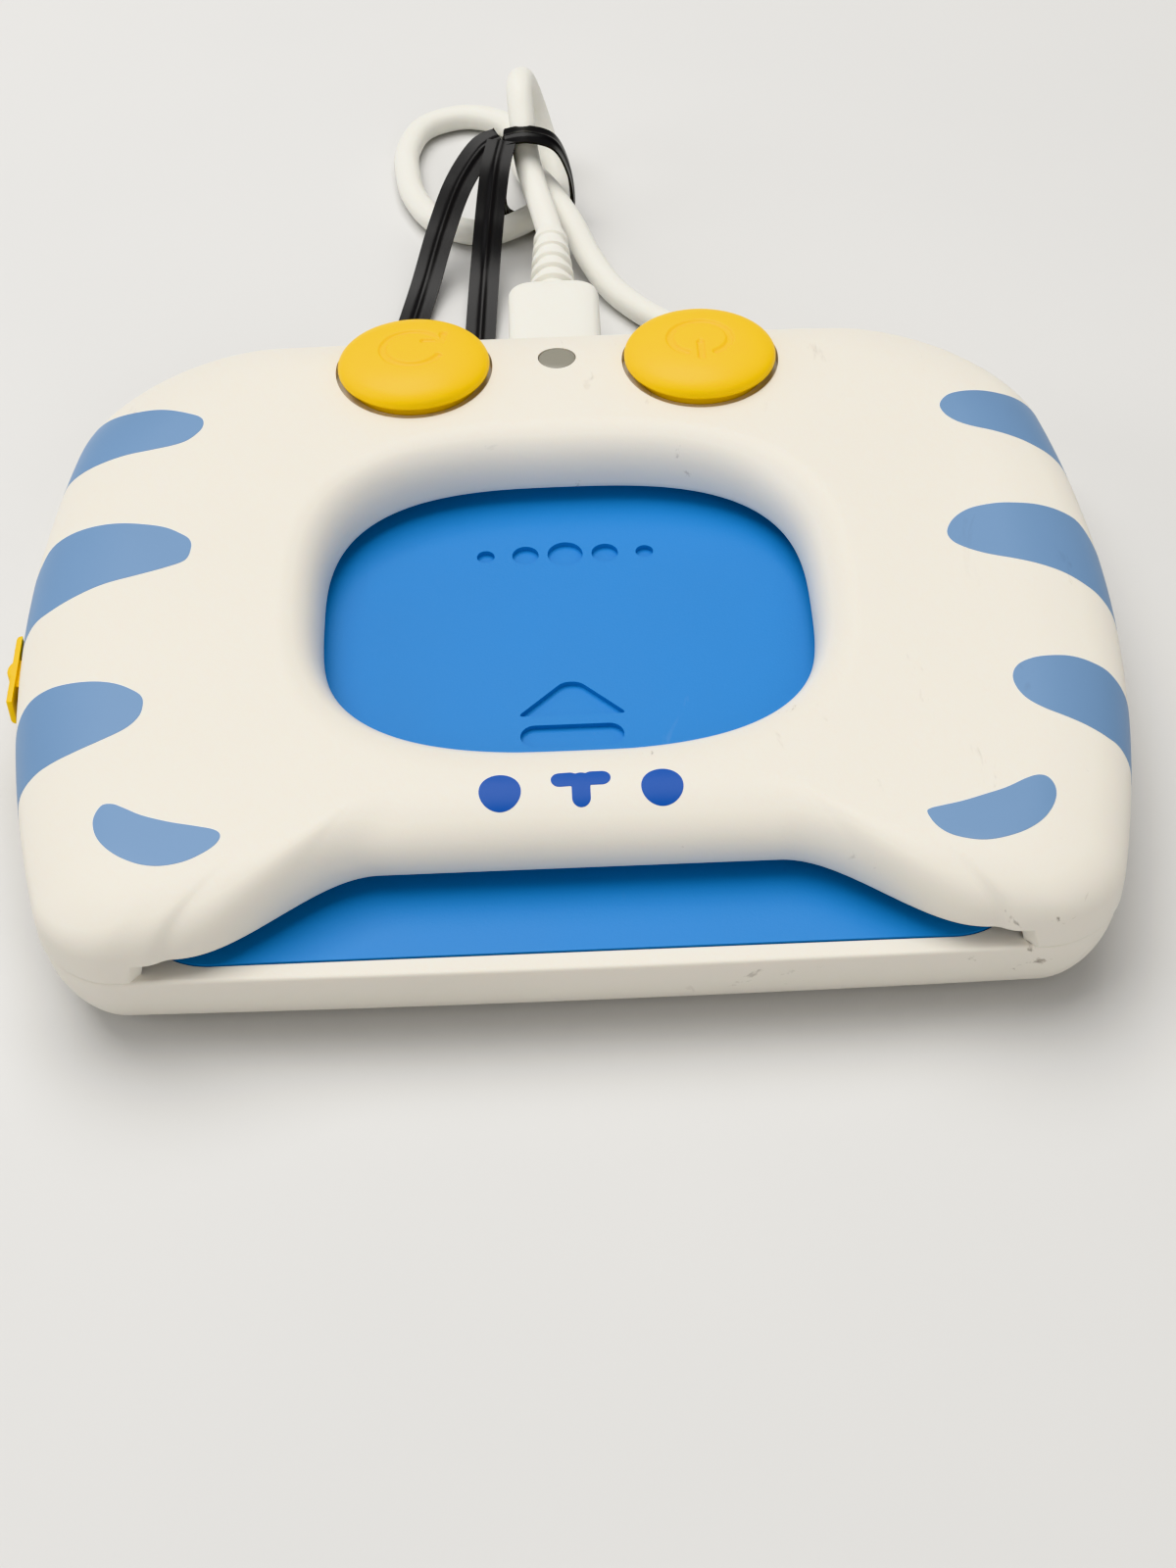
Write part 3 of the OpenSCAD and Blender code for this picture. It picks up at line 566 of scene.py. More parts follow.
def build_bottom_shell():
    """A solid bowl of outline rings, hollowed behind the deck, with the bed's seat cut in."""
    insets, heights = bowl_profile()
    bowl = ring_solid("bottom_shell_bowl", insets, heights, "reader")
    floor = FOOT_H + WALL
    turn = np.radians(np.linspace(90, 0, 14))
    hollow = ring_solid("hollow", np.r_[RIM_INSET + WALL + UNDER_R * (1 - np.cos(turn)),
                                           RIM_INSET + WALL],
                        np.r_[PART_Z - (PART_Z - floor) * np.sin(turn), PART_Z + 3])
    carve(hollow, [block("deck", (-BODY_W, -BODY_D, 0), (BODY_W, -26, 40))])
    seat = prism("seat", bed_outline(SEAT_GAP), BED_LOW[2] - 0.02, PART_Z + 5)
    well = block("well", (-BED_HALF + 3, BED_LOW[1] + 6, floor), (BED_HALF - 3, -25.9, BED_Z))
    port = port_cutter()
    small = [prism("screw_hole", arc(x, y, SCREW_HOLE_R, 0, 31, 360)[:-1], -1, FOOT_H + 2)
             for x in (-SCREW_X, SCREW_X) for y in (-BODY_D / 2 + 17, BODY_D / 2 - 22)]
    foot_x, foot_y = FOOT_HIGH[0] - FOOT_R, FOOT_HIGH[1] - FOOT_R
    small += [prism("foot_seat", arc(x, y, FOOT_R + 0.02, 0, 47, 360)[:-1], -1, FOOT_H + 0.6)
              for x in (-foot_x, foot_x) for y in (-foot_y, foot_y)]
    small += [prism("grille_hole", arc(x, y, GRILLE_HOLE_R, 0, 19, 360)[:-1], -1, floor + 2)
              for x, y in grille_places()]
    carve(bowl, [hollow, seat, well, port, *small])
    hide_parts("bottom_shell")
    return bowl


SCREW_X = SLOT_W / 2 + 3.7
SPEAKER = (16.0, -20.0)


def grille_places():
    """The centre hole of the loudspeaker's grille and two rings of holes round it."""
    rings = [(0, 1), (3.6, 6), (7.2, 12)]
    return [(SPEAKER[0] + r * math.cos(2 * math.pi * k / n),
             SPEAKER[1] + r * math.sin(2 * math.pi * k / n)) for r, n in rings for k in range(n)]


def stadium(width, height, steps=14):
    """A bar with round ends, as (x, y) points."""
    r = height / 2
    reach = width / 2 - r
    return np.concatenate([arc(reach, 0, r, -90, steps, 180), arc(-reach, 0, r, 90, steps, 180)])


def port_cutter():
    """The charging port's hole, a stadium carried through the back wall."""
    outline = stadium(PORT_W, PORT_H)
    n = len(outline)
    near, far = BODY_D / 2 - 8, BODY_D / 2 + 4
    points = np.concatenate([
        np.stack([outline[:, 0], np.full(n, y), PLUG_Z + outline[:, 1]], -1) for y in (near, far)])
    obj = make_object("port", points, grid_faces(2, n, wrap_columns=True)
                      + [list(range(n)), list(range(n, 2 * n))], None)
    tidy(obj)
    return obj


def rounded(corners, radius, steps=6):
    """A polygon with its corners rounded by quadratic curves that start radius from each corner."""
    p = np.asarray(corners, float)
    before, after = np.roll(p, 1, 0) - p, np.roll(p, -1, 0) - p
    start = p + before / np.linalg.norm(before, axis=1)[:, None] * radius
    end = p + after / np.linalg.norm(after, axis=1)[:, None] * radius
    t = np.linspace(0, 1, steps + 1)[None, :, None]
    start, mid, end = start[:, None], p[:, None], end[:, None]
    return (start * (1 - t) ** 2 + 2 * mid * t * (1 - t) + end * t**2).reshape(-1, 2)


def build_card_bed():
    """The bed plate with its arrow and a plain generic mark pressed in, and rounded edges."""
    sizes = bpy.context.scene.reader_sizes
    depth = sizes.arrow_depth / MM
    bed = prism("card_bed_plate", bed_outline(0), BED_LOW[2], BED_HIGH[2], "reader")
    floor = BED_Z - depth
    arrow = rounded([(-5.9, -12.6), (5.9, -12.6), (0.9, -7.6), (-0.9, -7.6)], 0.8)
    bar = stadium(11, 3.2) + np.array([-0.1, -15.6])
    marks = [prism("arrow", arrow, floor, BED_Z + 1), prism("bar", bar, floor, BED_Z + 1)]
    for x, r in ((-9.0, 1.0), (-4.5, 1.5), (0.0, 2.0), (4.5, 1.5), (9.0, 1.0)):
        marks.append(prism("dot", arc(x, 13, r, 0, 31, 360)[:-1], floor, BED_Z + 1))
    sensor_x = SLOT_W / 2 - SENSOR_IN
    for y in np.arange(-8.0, 12.1, 4.0):
        marks.append(prism("sensor_hole", arc(sensor_x, y, SENSOR_HOLE_R, 0, 23, 360)[:-1], 0, BED_Z + 1))
    carve(bed, marks)
    bevel = bed.modifiers.new("edges", "BEVEL")
    bevel.width = 0.00016
    bevel.segments = 2
    bevel.limit_method = "ANGLE"
    bevel.angle_limit = math.radians(50)
    bevel.harden_normals = True
    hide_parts("card_bed")
    return bed


# ---- prints on the shell ----

# Each stripe's edge in one run: from its upper far end round the tip to its lower far end. A height
# of 0 stands for the skin's own height there.
STRIPES = {
    "back_stripe_left": [
        (-57.1, 28.4, 10.5), (-56.1, 30.6, 13.4), (-53.5, 32.0, 0), (-49.2, 31.6, 0),
        (-45.9, 31.2, 0), (-42.7, 30.1, 0), (-41.3, 29.3, 0), (-40.9, 28.1, 0), (-41.4, 26.6, 0),
        (-43.1, 24.9, 0), (-46.5, 23.8, 0), (-49.5, 23.3, 0), (-52.3, 22.8, 0), (-54.8, 22.4, 0),
        (-57.0, 21.9, 14.6), (-58.3, 20.4, 12.4), (-58.7, 18.6, 10.5)],
    "middle_stripe_left": [
        (-59.4, 2.6, 10.5), (-59.2, 4.6, 13.2), (-57.9, 8.6, 15.6), (-56.9, 10.3, 0),
        (-55.0, 11.1, 0), (-51.8, 11.4, 0), (-48.0, 11.2, 0), (-44.2, 10.4, 0), (-41.9, 9.0, 0),
        (-41.0, 8.0, 0), (-40.8, 6.7, 0), (-41.3, 4.8, 0), (-43.4, 3.7, 0), (-46.5, 2.6, 0),
        (-50.1, 1.4, 0), (-52.9, 0.2, 0), (-55.5, -0.9, 0), (-57.5, -1.7, 0), (-58.7, -4.0, 14.0),
        (-59.3, -6.8, 12.2), (-59.4, -9.4, 10.5)],
    "front_stripe_left": [
        (-58.5, -22.6, 10.5), (-58.6, -19.6, 12.8), (-57.9, -15.9, 15.0), (-56.5, -13.9, 0),
        (-54.4, -13.2, 0), (-51.9, -13.2, 0), (-49.0, -13.5, 0), (-46.8, -14.1, 0),
        (-45.0, -15.2, 0), (-44.2, -16.1, 0), (-44.0, -17.3, 0), (-44.3, -18.9, 0),
        (-45.5, -20.5, 0), (-47.8, -22.0, 0), (-50.5, -23.2, 0), (-52.9, -24.0, 0),
        (-54.7, -24.7, 0), (-56.3, -26.2, 14.6), (-57.1, -29.0, 12.6), (-57.2, -31.6, 10.5)],
    "back_stripe_right": [
        (57.4, 25.6, 10.5), (56.9, 27.6, 13.4), (55.4, 29.0, 15.6), (53.4, 29.5, 0),
        (51.1, 29.5, 0), (48.7, 29.4, 0), (46.2, 28.9, 0), (44.6, 28.1, 0), (43.7, 26.6, 0),
        (44.0, 25.0, 0), (45.1, 23.6, 0), (46.9, 22.5, 0), (49.5, 21.7, 0), (52.1, 20.9, 0),
        (54.0, 20.2, 0), (55.6, 19.6, 0), (57.2, 18.3, 14.6), (58.4, 16.2, 12.4),
        (58.8, 14.2, 10.5)],
    "middle_stripe_right": [
        (59.4, -0.2, 10.5), (59.2, 2.4, 13.2), (58.3, 5.0, 15.0), (56.9, 7.9, 0),
        (55.2, 8.7, 0), (52.5, 9.1, 0), (49.8, 9.1, 0), (47.2, 9.0, 0), (44.5, 8.3, 0),
        (42.6, 6.8, 0), (41.6, 4.8, 0), (41.9, 3.2, 0), (43.2, 2.0, 0), (45.3, 0.9, 0),
        (48.0, 0.0, 0), (50.8, -0.9, 0), (53.3, -1.8, 0), (55.4, -2.9, 0), (57.2, -4.1, 0),
        (58.7, -6.6, 14.0), (59.2, -9.2, 12.2), (59.2, -11.6, 10.5)],
    "front_stripe_right": [
        (58.4, -24.6, 10.5), (58.5, -21.6, 12.8), (57.7, -18.2, 14.8), (56.0, -16.0, 0),
        (54.3, -15.3, 0), (52.1, -14.9, 0), (50.0, -15.0, 0), (47.8, -15.4, 0), (46.1, -16.3, 0),
        (45.3, -17.8, 0), (45.4, -19.5, 0), (46.2, -21.2, 0), (47.7, -22.6, 0), (49.6, -23.6, 0),
        (51.9, -24.6, 0), (53.9, -25.5, 0), (55.3, -26.2, 0), (56.6, -28.4, 13.8),
        (57.1, -31.0, 12.2), (57.1, -33.4, 10.5)],
}
EAR_MARKS = {
    "ear_mark_left": [
        (-47.0, -31.1), (-45.9, -30.9), (-44.7, -31.5), (-42.8, -32.6), (-40.1, -33.6),
        (-37.4, -34.3), (-35.5, -34.9), (-34.9, -35.7), (-35.3, -36.8), (-36.5, -37.9),
        (-38.3, -38.9), (-40.6, -39.3), (-42.9, -38.8), (-45.3, -37.3), (-47.0, -35.2),
        (-47.6, -32.9)],
    "ear_mark_right": [
        (34.1, -36.3), (34.5, -35.8), (35.6, -35.5), (37.7, -35.0), (40.1, -34.2), (42.3, -33.4),
        (44.4, -32.3), (45.7, -31.9), (46.6, -32.2), (47.1, -33.3), (47.0, -34.7), (46.3, -36.3),
        (45.1, -37.8), (43.4, -39.0), (41.3, -39.8), (39.3, -40.1), (37.4, -39.8), (35.8, -39.1),
        (34.7, -37.9)],
}
FACE_X = 0.45
EYE_X, EYE_Y, EYE_R = 8.05, -31.2, 2.1


def even_steps(curve, count, bunch=1.0):
    """Points along a curve at equal shares of its length; bunch above 1 packs them at its start."""
    far = np.r_[0, np.cumsum(np.linalg.norm(np.diff(curve, axis=0), axis=1))]
    at = np.linspace(0, 1, count) ** bunch * far[-1]
    return np.stack([np.interp(at, far, curve[:, k]) for k in range(curve.shape[1])], -1)


def skin_patch(name, outline, across, along):
    """A thin print inside an edge that runs round a tip: the edge is a smooth curve, parted at the
    tip, and each point is a straight blend of its two halves in ray and profile numbers."""
    lift = bpy.context.scene.reader_sizes.print_lift / MM
    edge = curve_through(outline, 12)
    tip = int(np.argmin(np.abs(edge[:, 0])))
    upper, lower = (skin_place(even_steps(half, along, 1.7)) for half in (edge[tip::-1], edge[tip:]))
    rays = len(SKIN)
    for half in (upper, lower):
        half[:, 0] = upper[0, 0] + (half[:, 0] - upper[0, 0] + rays / 2) % rays - rays / 2
    t = np.linspace(0, 1, across)[None, :, None]
    grid = upper[:, None] * (1 - t) + lower[:, None] * t
    return lay_on_skin(name, grid, lift)


def lay_on_skin(name, grid, lift):
    """A grid of ray and profile numbers as a thin sheet over the skin, with its edge turned down
    into it so that the print is a closed lip."""
    rows, columns = grid[..., 0], grid[..., 1]
    step = 0.2
    along = on_skin(rows + step, columns) - on_skin(rows - step, columns)
    across = on_skin(rows, columns + step) - on_skin(rows, columns - step)
    normal = np.cross(across, along)
    normal /= np.linalg.norm(normal, axis=-1, keepdims=True) + 1e-12
    outward = np.sign((normal * (on_skin(rows, columns) - np.array([0, 0, PART_Z - 20]))).sum(-1))
    normal *= outward[..., None]
    top = on_skin(rows, columns) + normal * lift
    low = on_skin(rows, columns) - normal * 0.15
    n, m = rows.shape
    points = np.concatenate([top.reshape(-1, 3), low.reshape(-1, 3)])
    obj = make_object(name, points, two_sheets(n, m), "reader")
    tidy(obj, 30)
    return obj


def mark_on_plan(name, outline, rings=10):
    """A print whose outline is a closed plan curve: rings shrink from it to its centre."""
    outline = np.asarray(outline, float)
    centre = outline.mean(0)
    t = np.linspace(1, 0.002, rings)[:, None, None]
    plan = centre + (outline[None] - centre) * t
    flat = height_at(plan.reshape(-1, 2))
    grid = skin_place(flat).reshape(rings, len(outline), 2)
    lift = bpy.context.scene.reader_sizes.print_lift / MM
    rows, columns = grid[..., 0], grid[..., 1]
    top = on_skin(rows, columns) + np.array([0, 0, lift])
    low = on_skin(rows[:1], columns[:1]) - np.array([0, 0, 0.15])
    points = np.concatenate([low, top]).reshape(-1, 3)
    faces = grid_faces(rings + 1, len(outline), wrap_columns=True)
    n = len(outline)
    faces += [list(range(rings * n, rings * n + n)), list(range(n))]
    obj = make_object(name, points, faces, "reader")
    tidy(obj, 30)
    return obj


def nose_outline():
    """A T of two round lobes over a short stem: the distance to three round-ended bars, joined by a
    soft minimum, traced along rays from the middle."""
    centre = np.array([FACE_X, -30.3])
    bars = [((-2.1, 0.25), (-1.1, 0.3), 0.88), ((2.1, 0.35), (1.1, 0.35), 0.88),
            ((0.0, 0.2), (0.0, -1.9), 0.93)]
    turn = np.linspace(0, 2 * np.pi, 240, endpoint=False)
    reach = np.linspace(0, 5, 1000)
    ray = np.stack([np.cos(turn), np.sin(turn)], -1)
    p = ray[:, None, :] * reach[None, :, None]
    field = 0
    for a, b, r in bars:
        a, b = np.array(a), np.array(b)
        h = np.clip(((p - a) @ (b - a)) / ((b - a) @ (b - a)), 0, 1)
        d = np.linalg.norm(p - a - h[..., None] * (b - a), axis=-1) - r
        field = field + np.exp(-d / 0.06)
    inside = -0.06 * np.log(field) < 0
    edge = reach[inside.shape[1] - 1 - np.argmax(inside[:, ::-1], 1)]
    return centre + ray * edge[:, None]


def build_prints():
    """Stripes round both sides, ear marks, eyes and nose."""
    made = []
    for name, outline in STRIPES.items():
        made.append((skin_patch(name, on_surface(outline), 22, 60), "stripe"))
    for name, outline in EAR_MARKS.items():
        closed = curve_through(outline[-2:] + outline + outline[:3], 6)[12:-13]
        made.append((mark_on_plan(name, closed), "stripe"))
    for side, word in ((-1, "left"), (1, "right")):
        eye = arc(FACE_X + side * EYE_X, EYE_Y, EYE_R, 0, 63, 360)[:-1]
        made.append((mark_on_plan(f"eye_{word}", eye), "face"))
    made.append((mark_on_plan("nose", nose_outline()), "face"))
    return made


def on_surface(edge):
    """Edge points as places: a height of 0 stands for the skin's own height there."""
    edge = np.array(edge, float)
    laid = height_at(edge[:, :2])
    return np.where(edge[:, 2:] > 0, edge, laid)


# ---- buttons, lens and slider ----


def bar_distance(p, a, b, r):
    """Distance from points to a round-ended bar from a to b with radius r."""
    a, b = np.asarray(a, float), np.asarray(b, float)
    h = np.clip(((p - a) @ (b - a)) / ((b - a) @ (b - a)), 0, 1)
    return np.linalg.norm(p - a - h[..., None] * (b - a), axis=-1) - r


def ring_distance(p, radius, r, gap_from, gap_to):
    """Distance from points to a ring of tube radius r, open between two angles in degrees."""
    turn = np.degrees(np.arctan2(p[..., 1], p[..., 0]))
    middle = (gap_from + gap_to) / 2
    off = np.abs((turn - middle + 180) % 360 - 180)
    open_half = (gap_to - gap_from) / 2
    ring = np.abs(np.linalg.norm(p, axis=-1) - radius) - r
    ends = [radius * np.array([math.cos(math.radians(g)), math.sin(math.radians(g))])
            for g in (gap_from, gap_to)]
    caps = np.minimum(*[np.linalg.norm(p - e, axis=-1) - r for e in ends])
    return np.where(off > open_half, ring, caps)


SIGN_R = 3.5
SIGN_LINE = 0.42


def repeat_sign(p):
    """A ring with a gap and an arrow head at one end of it."""
    ring = ring_distance(p, SIGN_R, SIGN_LINE, 330, 385)
    tip = SIGN_R * np.array([math.cos(math.radians(22)), math.sin(math.radians(22))])
    head = np.minimum(bar_distance(p, tip, tip + (-1.9, 0.1), SIGN_LINE),
                      bar_distance(p, tip, tip + (0.35, 1.8), SIGN_LINE))
    return np.minimum(ring, head)


def power_sign(p):
    """A ring open at its foot with an upright bar."""
    ring = ring_distance(p, SIGN_R, SIGN_LINE, 240, 300)
    return np.minimum(ring, bar_distance(p, (0, -1.0), (0, -4.0), SIGN_LINE))


def build_button(side, name, sign):
    """A domed cap: radius (cos a)^0.72 and height (sin a)^0.9 of a quarter turn, over a rounded
    underside, with the sign pressed into its top and the skirt and stem below."""
    depth = bpy.context.scene.reader_sizes.symbol_depth / MM
    turn = np.linspace(0, 2 * np.pi, 288, endpoint=False)
    a = np.radians(90 * np.linspace(0, 1, 110) ** 0.75)
    dome = np.stack([CAP_R * np.cos(a) ** 0.72, CAP_RIM + (CAP_H - CAP_RIM) * np.sin(a) ** 0.9],
                    -1)
    dome[-1, 0] = 0
    low_turn = np.radians(np.linspace(-90, 0, 8))
    lip = CAP_RIM - 0.02
    under = np.stack([CAP_R + lip * (np.cos(low_turn) - 1), CAP_RIM + lip * np.sin(low_turn)], -1)
    skirt = np.array([[0, -2.6], [6.3, -2.6], [6.5, -2.65], [7.3, -2.65], [7.5, -2.45], [7.5, 0.02]])
    profile = np.concatenate([skirt, under[:-1], dome])
    r, z = profile[:, 0], profile[:, 1]
    x = r[None] * np.cos(turn)[:, None]
    y = r[None] * np.sin(turn)[:, None]
    plan = np.stack([x, y], -1)
    on_dome = np.arange(len(profile)) >= len(skirt) + len(under) - 1
    pressed = (1 - ease((sign(plan) + 0.16) / 0.32)) * on_dome[None]
    height = z[None] - depth * pressed
    points = button_frame(side)(np.stack([x, y, height], -1))
    cap = make_object(f"{name}_cap", points.reshape(-1, 3),
                      grid_faces(len(turn), len(profile), wrap_rows=True), KEY[side])
    tidy(cap, 50)
    stem = [(0, CAP_LOW[2] - BUTTON_Z + 0.05), (1.3, CAP_LOW[2] - BUTTON_Z + 0.05),
            (1.6, CAP_LOW[2] - BUTTON_Z + 0.35), (1.6, 0.5), (0, 0.5)]
    rod = solid_of_revolution(f"{name}_stem", stem, KEY[side], 32,
                              button_frame(side))
    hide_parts(f"{name}_button")
    return [cap, rod]


KEY = {-1: "repeat_key", 1: "power_key"}


def build_lens():
    """The status light's round window, slightly crowned with a rounded edge."""
    top = float(height_at([(0, LENS_Y)])[0, 2]) - 0.05
    slope = (float(height_at([(0, LENS_Y + 1)])[0, 2]) - float(height_at([(0, LENS_Y - 1)])[0, 2])) / 2
    a = np.radians(np.linspace(0, 90, 14))
    crown = np.stack([LENS_R * np.cos(a) ** 0.35, top - 0.22 + 0.22 * np.sin(a)], -1)
    crown[-1, 0] = 0
    profile = np.concatenate([[(0, LENS_LOW[2]), (LENS_R - 0.2, LENS_LOW[2]),
                               (LENS_R, LENS_LOW[2] + 0.2)], crown])

    def place(points):
        tall = np.clip((points[..., 2] - LENS_LOW[2]) / (top - LENS_LOW[2]), 0, 1)
        z = points[..., 2] + points[..., 1] * slope * tall
        return np.stack([points[..., 0], points[..., 1] + LENS_Y, z], -1)

    lens = solid_of_revolution("status_lens", profile, "reader", 64, place)
    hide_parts("light_pipe")
    return lens


def build_slider():
    """The slider's knob: a plate with three round ridges across it, on its flat neck."""
    length, height = KNOB_HIGH[1] - KNOB_LOW[1], KNOB_HIGH[2] - KNOB_LOW[2]
    face = KNOB_LOW[0]
    back = face + 1.12
    y = np.linspace(-length / 2, length / 2, 121)
    z = np.linspace(-height / 2, height / 2, 41)
    yy, zz = np.meshgrid(y, z, indexing="ij")
    ridge = np.maximum(0, np.cos(np.pi * yy / 2.1)) ** 0.7 * (np.abs(yy) < 3.2)
    edge = np.minimum(length / 2 - np.abs(yy), height / 2 - np.abs(zz))
    round_off = 0.5 * (1 - np.sqrt(np.clip(1 - (1 - np.clip(edge / 0.5, 0, 1)) ** 2, 0, 1)))
    x = face + 0.42 * (1 - ridge) + round_off
    front = np.stack([x, yy, zz], -1)
    rear = np.stack([np.full_like(x, back), yy, zz], -1)
    n, m = x.shape
    points = np.concatenate([front.reshape(-1, 3), rear.reshape(-1, 3)])
    points = points + np.array([0, KNOB_Y, KNOB_Z])
    knob = make_object("volume_knob_ridges", points, two_sheets(n, m), "volume_slider")
    tidy(knob, 40)
    neck = block("volume_knob_neck", (back - 0.1, KNOB_Y - 2, KNOB_Z - 0.9),
                 (KNOB_HIGH[0], KNOB_Y + 2, KNOB_Z + 0.9), "volume_slider")
    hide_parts("volume_knob")
    return [knob, neck]


# ---- charging lead ----

RELIEF_END = (0, RELIEF_HIGH[1], PLUG_Z)
LEAD_END = (USB_A_HIGH[0], (USB_A_LOW[1] + USB_A_HIGH[1]) / 2, (USB_A_LOW[2] + USB_A_HIGH[2]) / 2)
ROUTE = [
    RELIEF_END, (-0.9, 84.6, 8.1), (-2, 89.4, 9.3), (-2.8, 93.4, 10.9), (-3.2, 97, 13.9),
    (-3.4, 101.6, 16.3), (-2.9, 106.4, 14.4), (-1.7, 108.5, 9.5), (-0.2, 106.5, 4.7),
    (1, 101.6, 2.6), (0.9, 96.6, 2.5), (-1.9, 91.8, 2.5), (-8.4, 88.8, 1.9), (-15, 91.6, 1.8),
    (-18.4, 97.6, 1.8), (-19.6, 103.8, 1.8), (-19.6, 109.8, 1.8), (-17.2, 115.6, 1.8),
    (-11.4, 118, 1.8), (-5.6, 115.6, 1.8), (-3.4, 109.8, 1.8), (-3.3, 104.8, 2.2),
    (-2.8, 100.2, 3.8), (-1.6, 95.4, 6), (0.4, 90.6, 6.4), (3, 85.4, 5), (5.4, 80, 2.9),
    (8.6, 74, 1.8), (14, 67.4, 1.8), (20.6, 63.2, 1.8), (27.6, 62, 1.8), (33.6, 61.8, 1.8),
    (38.5, 59.8, 1.8), (40.5, 54.9, 1.8), (38.5, 50, 1.8), (33.6, 48, 1.8), (27.6, 48, 1.8),
    (12, 48.8, 1.8), (-2, 51.2, 2.2), LEAD_END]


def sweep(name, path, profile, body, slot, sideways, scale=None):
    """A profile of (across, up) pairs carried along a path. Its first axis is square to the path and
    to the sideways direction's partner, and it may grow or shrink by scale along the way."""
    path = np.asarray(path, float)
    heading = np.gradient(path, axis=0)
    heading /= np.linalg.norm(heading, axis=1, keepdims=True)
    up = np.cross(heading, np.broadcast_to(sideways, heading.shape))
    up /= np.linalg.norm(up, axis=1, keepdims=True)
    side = np.cross(up, heading)
    profile = np.asarray(profile, float)
    grow = np.ones(len(path)) if scale is None else np.asarray(scale, float)
    offsets = (side[:, None] * profile[None, :, :1] + up[:, None] * profile[None, :, 1:])
    points = path[:, None] + offsets * grow[:, None, None]
    n = len(profile)
    faces = grid_faces(len(path), n, wrap_columns=True)
    last = (len(path) - 1) * n
    faces += [list(range(n)), list(range(last, last + n))]
    obj = make_object(name, points.reshape(-1, 3), faces, body)
    tidy(obj, 40)
    return obj


def build_cable():
    """A round tube along the route, with its own length round the bends."""
    path = curve_through(ROUTE, 14)
    turn = np.linspace(0, 2 * np.pi, 20, endpoint=False)
    ring = CABLE_R * np.stack([np.cos(turn), np.sin(turn)], -1)
    cable = sweep("charging_cable_jacket", path, ring, "reader", "cable_jacket", (0.707, 0, 0.707))
    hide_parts("charging_cable")
    return cable, path


def superellipse(width, height, power, steps=64):
    """A rounded rectangle |2x/w|^n + |2y/h|^n = 1."""
    turn = np.linspace(0, 2 * np.pi, steps, endpoint=False)
    c, s = np.cos(turn), np.sin(turn)
    r = (np.abs(c) ** power + np.abs(s) ** power) ** (-1 / power)
    return np.stack([r * c * width / 2, r * s * height / 2], -1)


def build_plug():
    """The charging plug's moulding: a rounded bar with rounded ends and a shoulder at the relief."""
    width, height = PLUG_HIGH[0] - PLUG_LOW[0], PLUG_HIGH[2] - PLUG_LOW[2]
    start, end = PLUG_LOW[1], PLUG_HIGH[1]
    outline = superellipse(width, height, 4.2, 96)
    turn = np.radians(np.linspace(0, 90, 9))
    shoulder = 2.2
    y = np.r_[start + 0.5 * (1 - np.cos(turn)), np.linspace(start + 1.2, end - shoulder, 12),
              end - shoulder * (1 - np.sin(turn))]
    scale = np.r_[1 - 0.06 * (1 - np.sin(turn)), np.ones(12), 1 - 0.42 * (1 - np.cos(turn))]
    path = np.stack([0 * y, y, PLUG_Z + 0 * y], -1)
    plug = sweep("charging_plug_moulding", path, outline, "reader", "cable_jacket", (1, 0, 0), scale)
    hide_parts("charging_plug")
    return plug


def build_relief():
    """The ribbed strain relief: a cone whose radius rises to a rounded rib at each pitch."""
    start, end = RELIEF_LOW[1], RELIEF_HIGH[1]
    length = end - start
    t = np.linspace(0, length, 180)
    core = 2.35 - (2.35 - CABLE_R - 0.12) * t / length
    crown = 3.1 - 0.95 * t / length
    wave = ease(np.cos(2 * np.pi * (t - 1.3) / 2.65) * 1.6 + 0.25)
    wave = np.where(t > length - 1.0, 0, wave)
    radius = core + (crown - core) * wave
    profile = np.concatenate([[(0, 0)], np.stack([radius, t], -1), [(0, length)]])

    def place(points):
        return np.stack([points[..., 0], start + points[..., 2], PLUG_Z + points[..., 1]], -1)

    relief = solid_of_revolution("strain_relief_ribs", profile, "reader", 56, place)
    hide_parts("strain_relief")
    return relief


def build_usb_a():
    """The far end's plug's rounded moulding; its metal shell and black tongue stay the CAD pieces."""
    low, high = USB_A_LOW, USB_A_HIGH
    x = np.linspace(0, 1, 26)
    span_x = high[0] - low[0]
    path = np.stack([high[0] - span_x * x, 0 * x + LEAD_END[1], 0 * x + LEAD_END[2]], -1)
    grow = 1 - 0.28 * (1 - ease(x / 0.18)) - 0.1 * ease((x - 0.93) / 0.07)
    outline = superellipse(high[1] - low[1], high[2] - low[2], 5, 72)
    moulding = sweep("usb_a_grip", path, outline, "reader", "cable_jacket", (0, 1, 0), grow)
    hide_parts("usb_a_moulding")
    return moulding


TIE_Y = 93.2
TIE_W = 4.0
TAILS = {
    "long": [(-6.2, 93.2, 13.8), (-8.8, 92, 13), (-12, 88.6, 10), (-14.6, 83.6, 6),
             (-17, 76.6, 2), (-19.4, 66.6, 0.5)],
    "short": [(-6, 92, 14.2), (-7, 88.6, 12.2), (-8, 83.6, 8), (-9, 76.8, 3), (-9.8, 66, 0.5)],
}


def tie_section(width):
    """Cross-section of the tie: a thin film with a wire's round ridge along its middle."""
    x = np.linspace(-width / 2, width / 2, 25)
    ridge = 0.22 * np.exp(-(x / 0.42) ** 2)
    thin = 0.13
    return np.concatenate([np.stack([x, -thin - ridge], -1), np.stack([x[::-1], thin + ridge[::-1]], -1)])


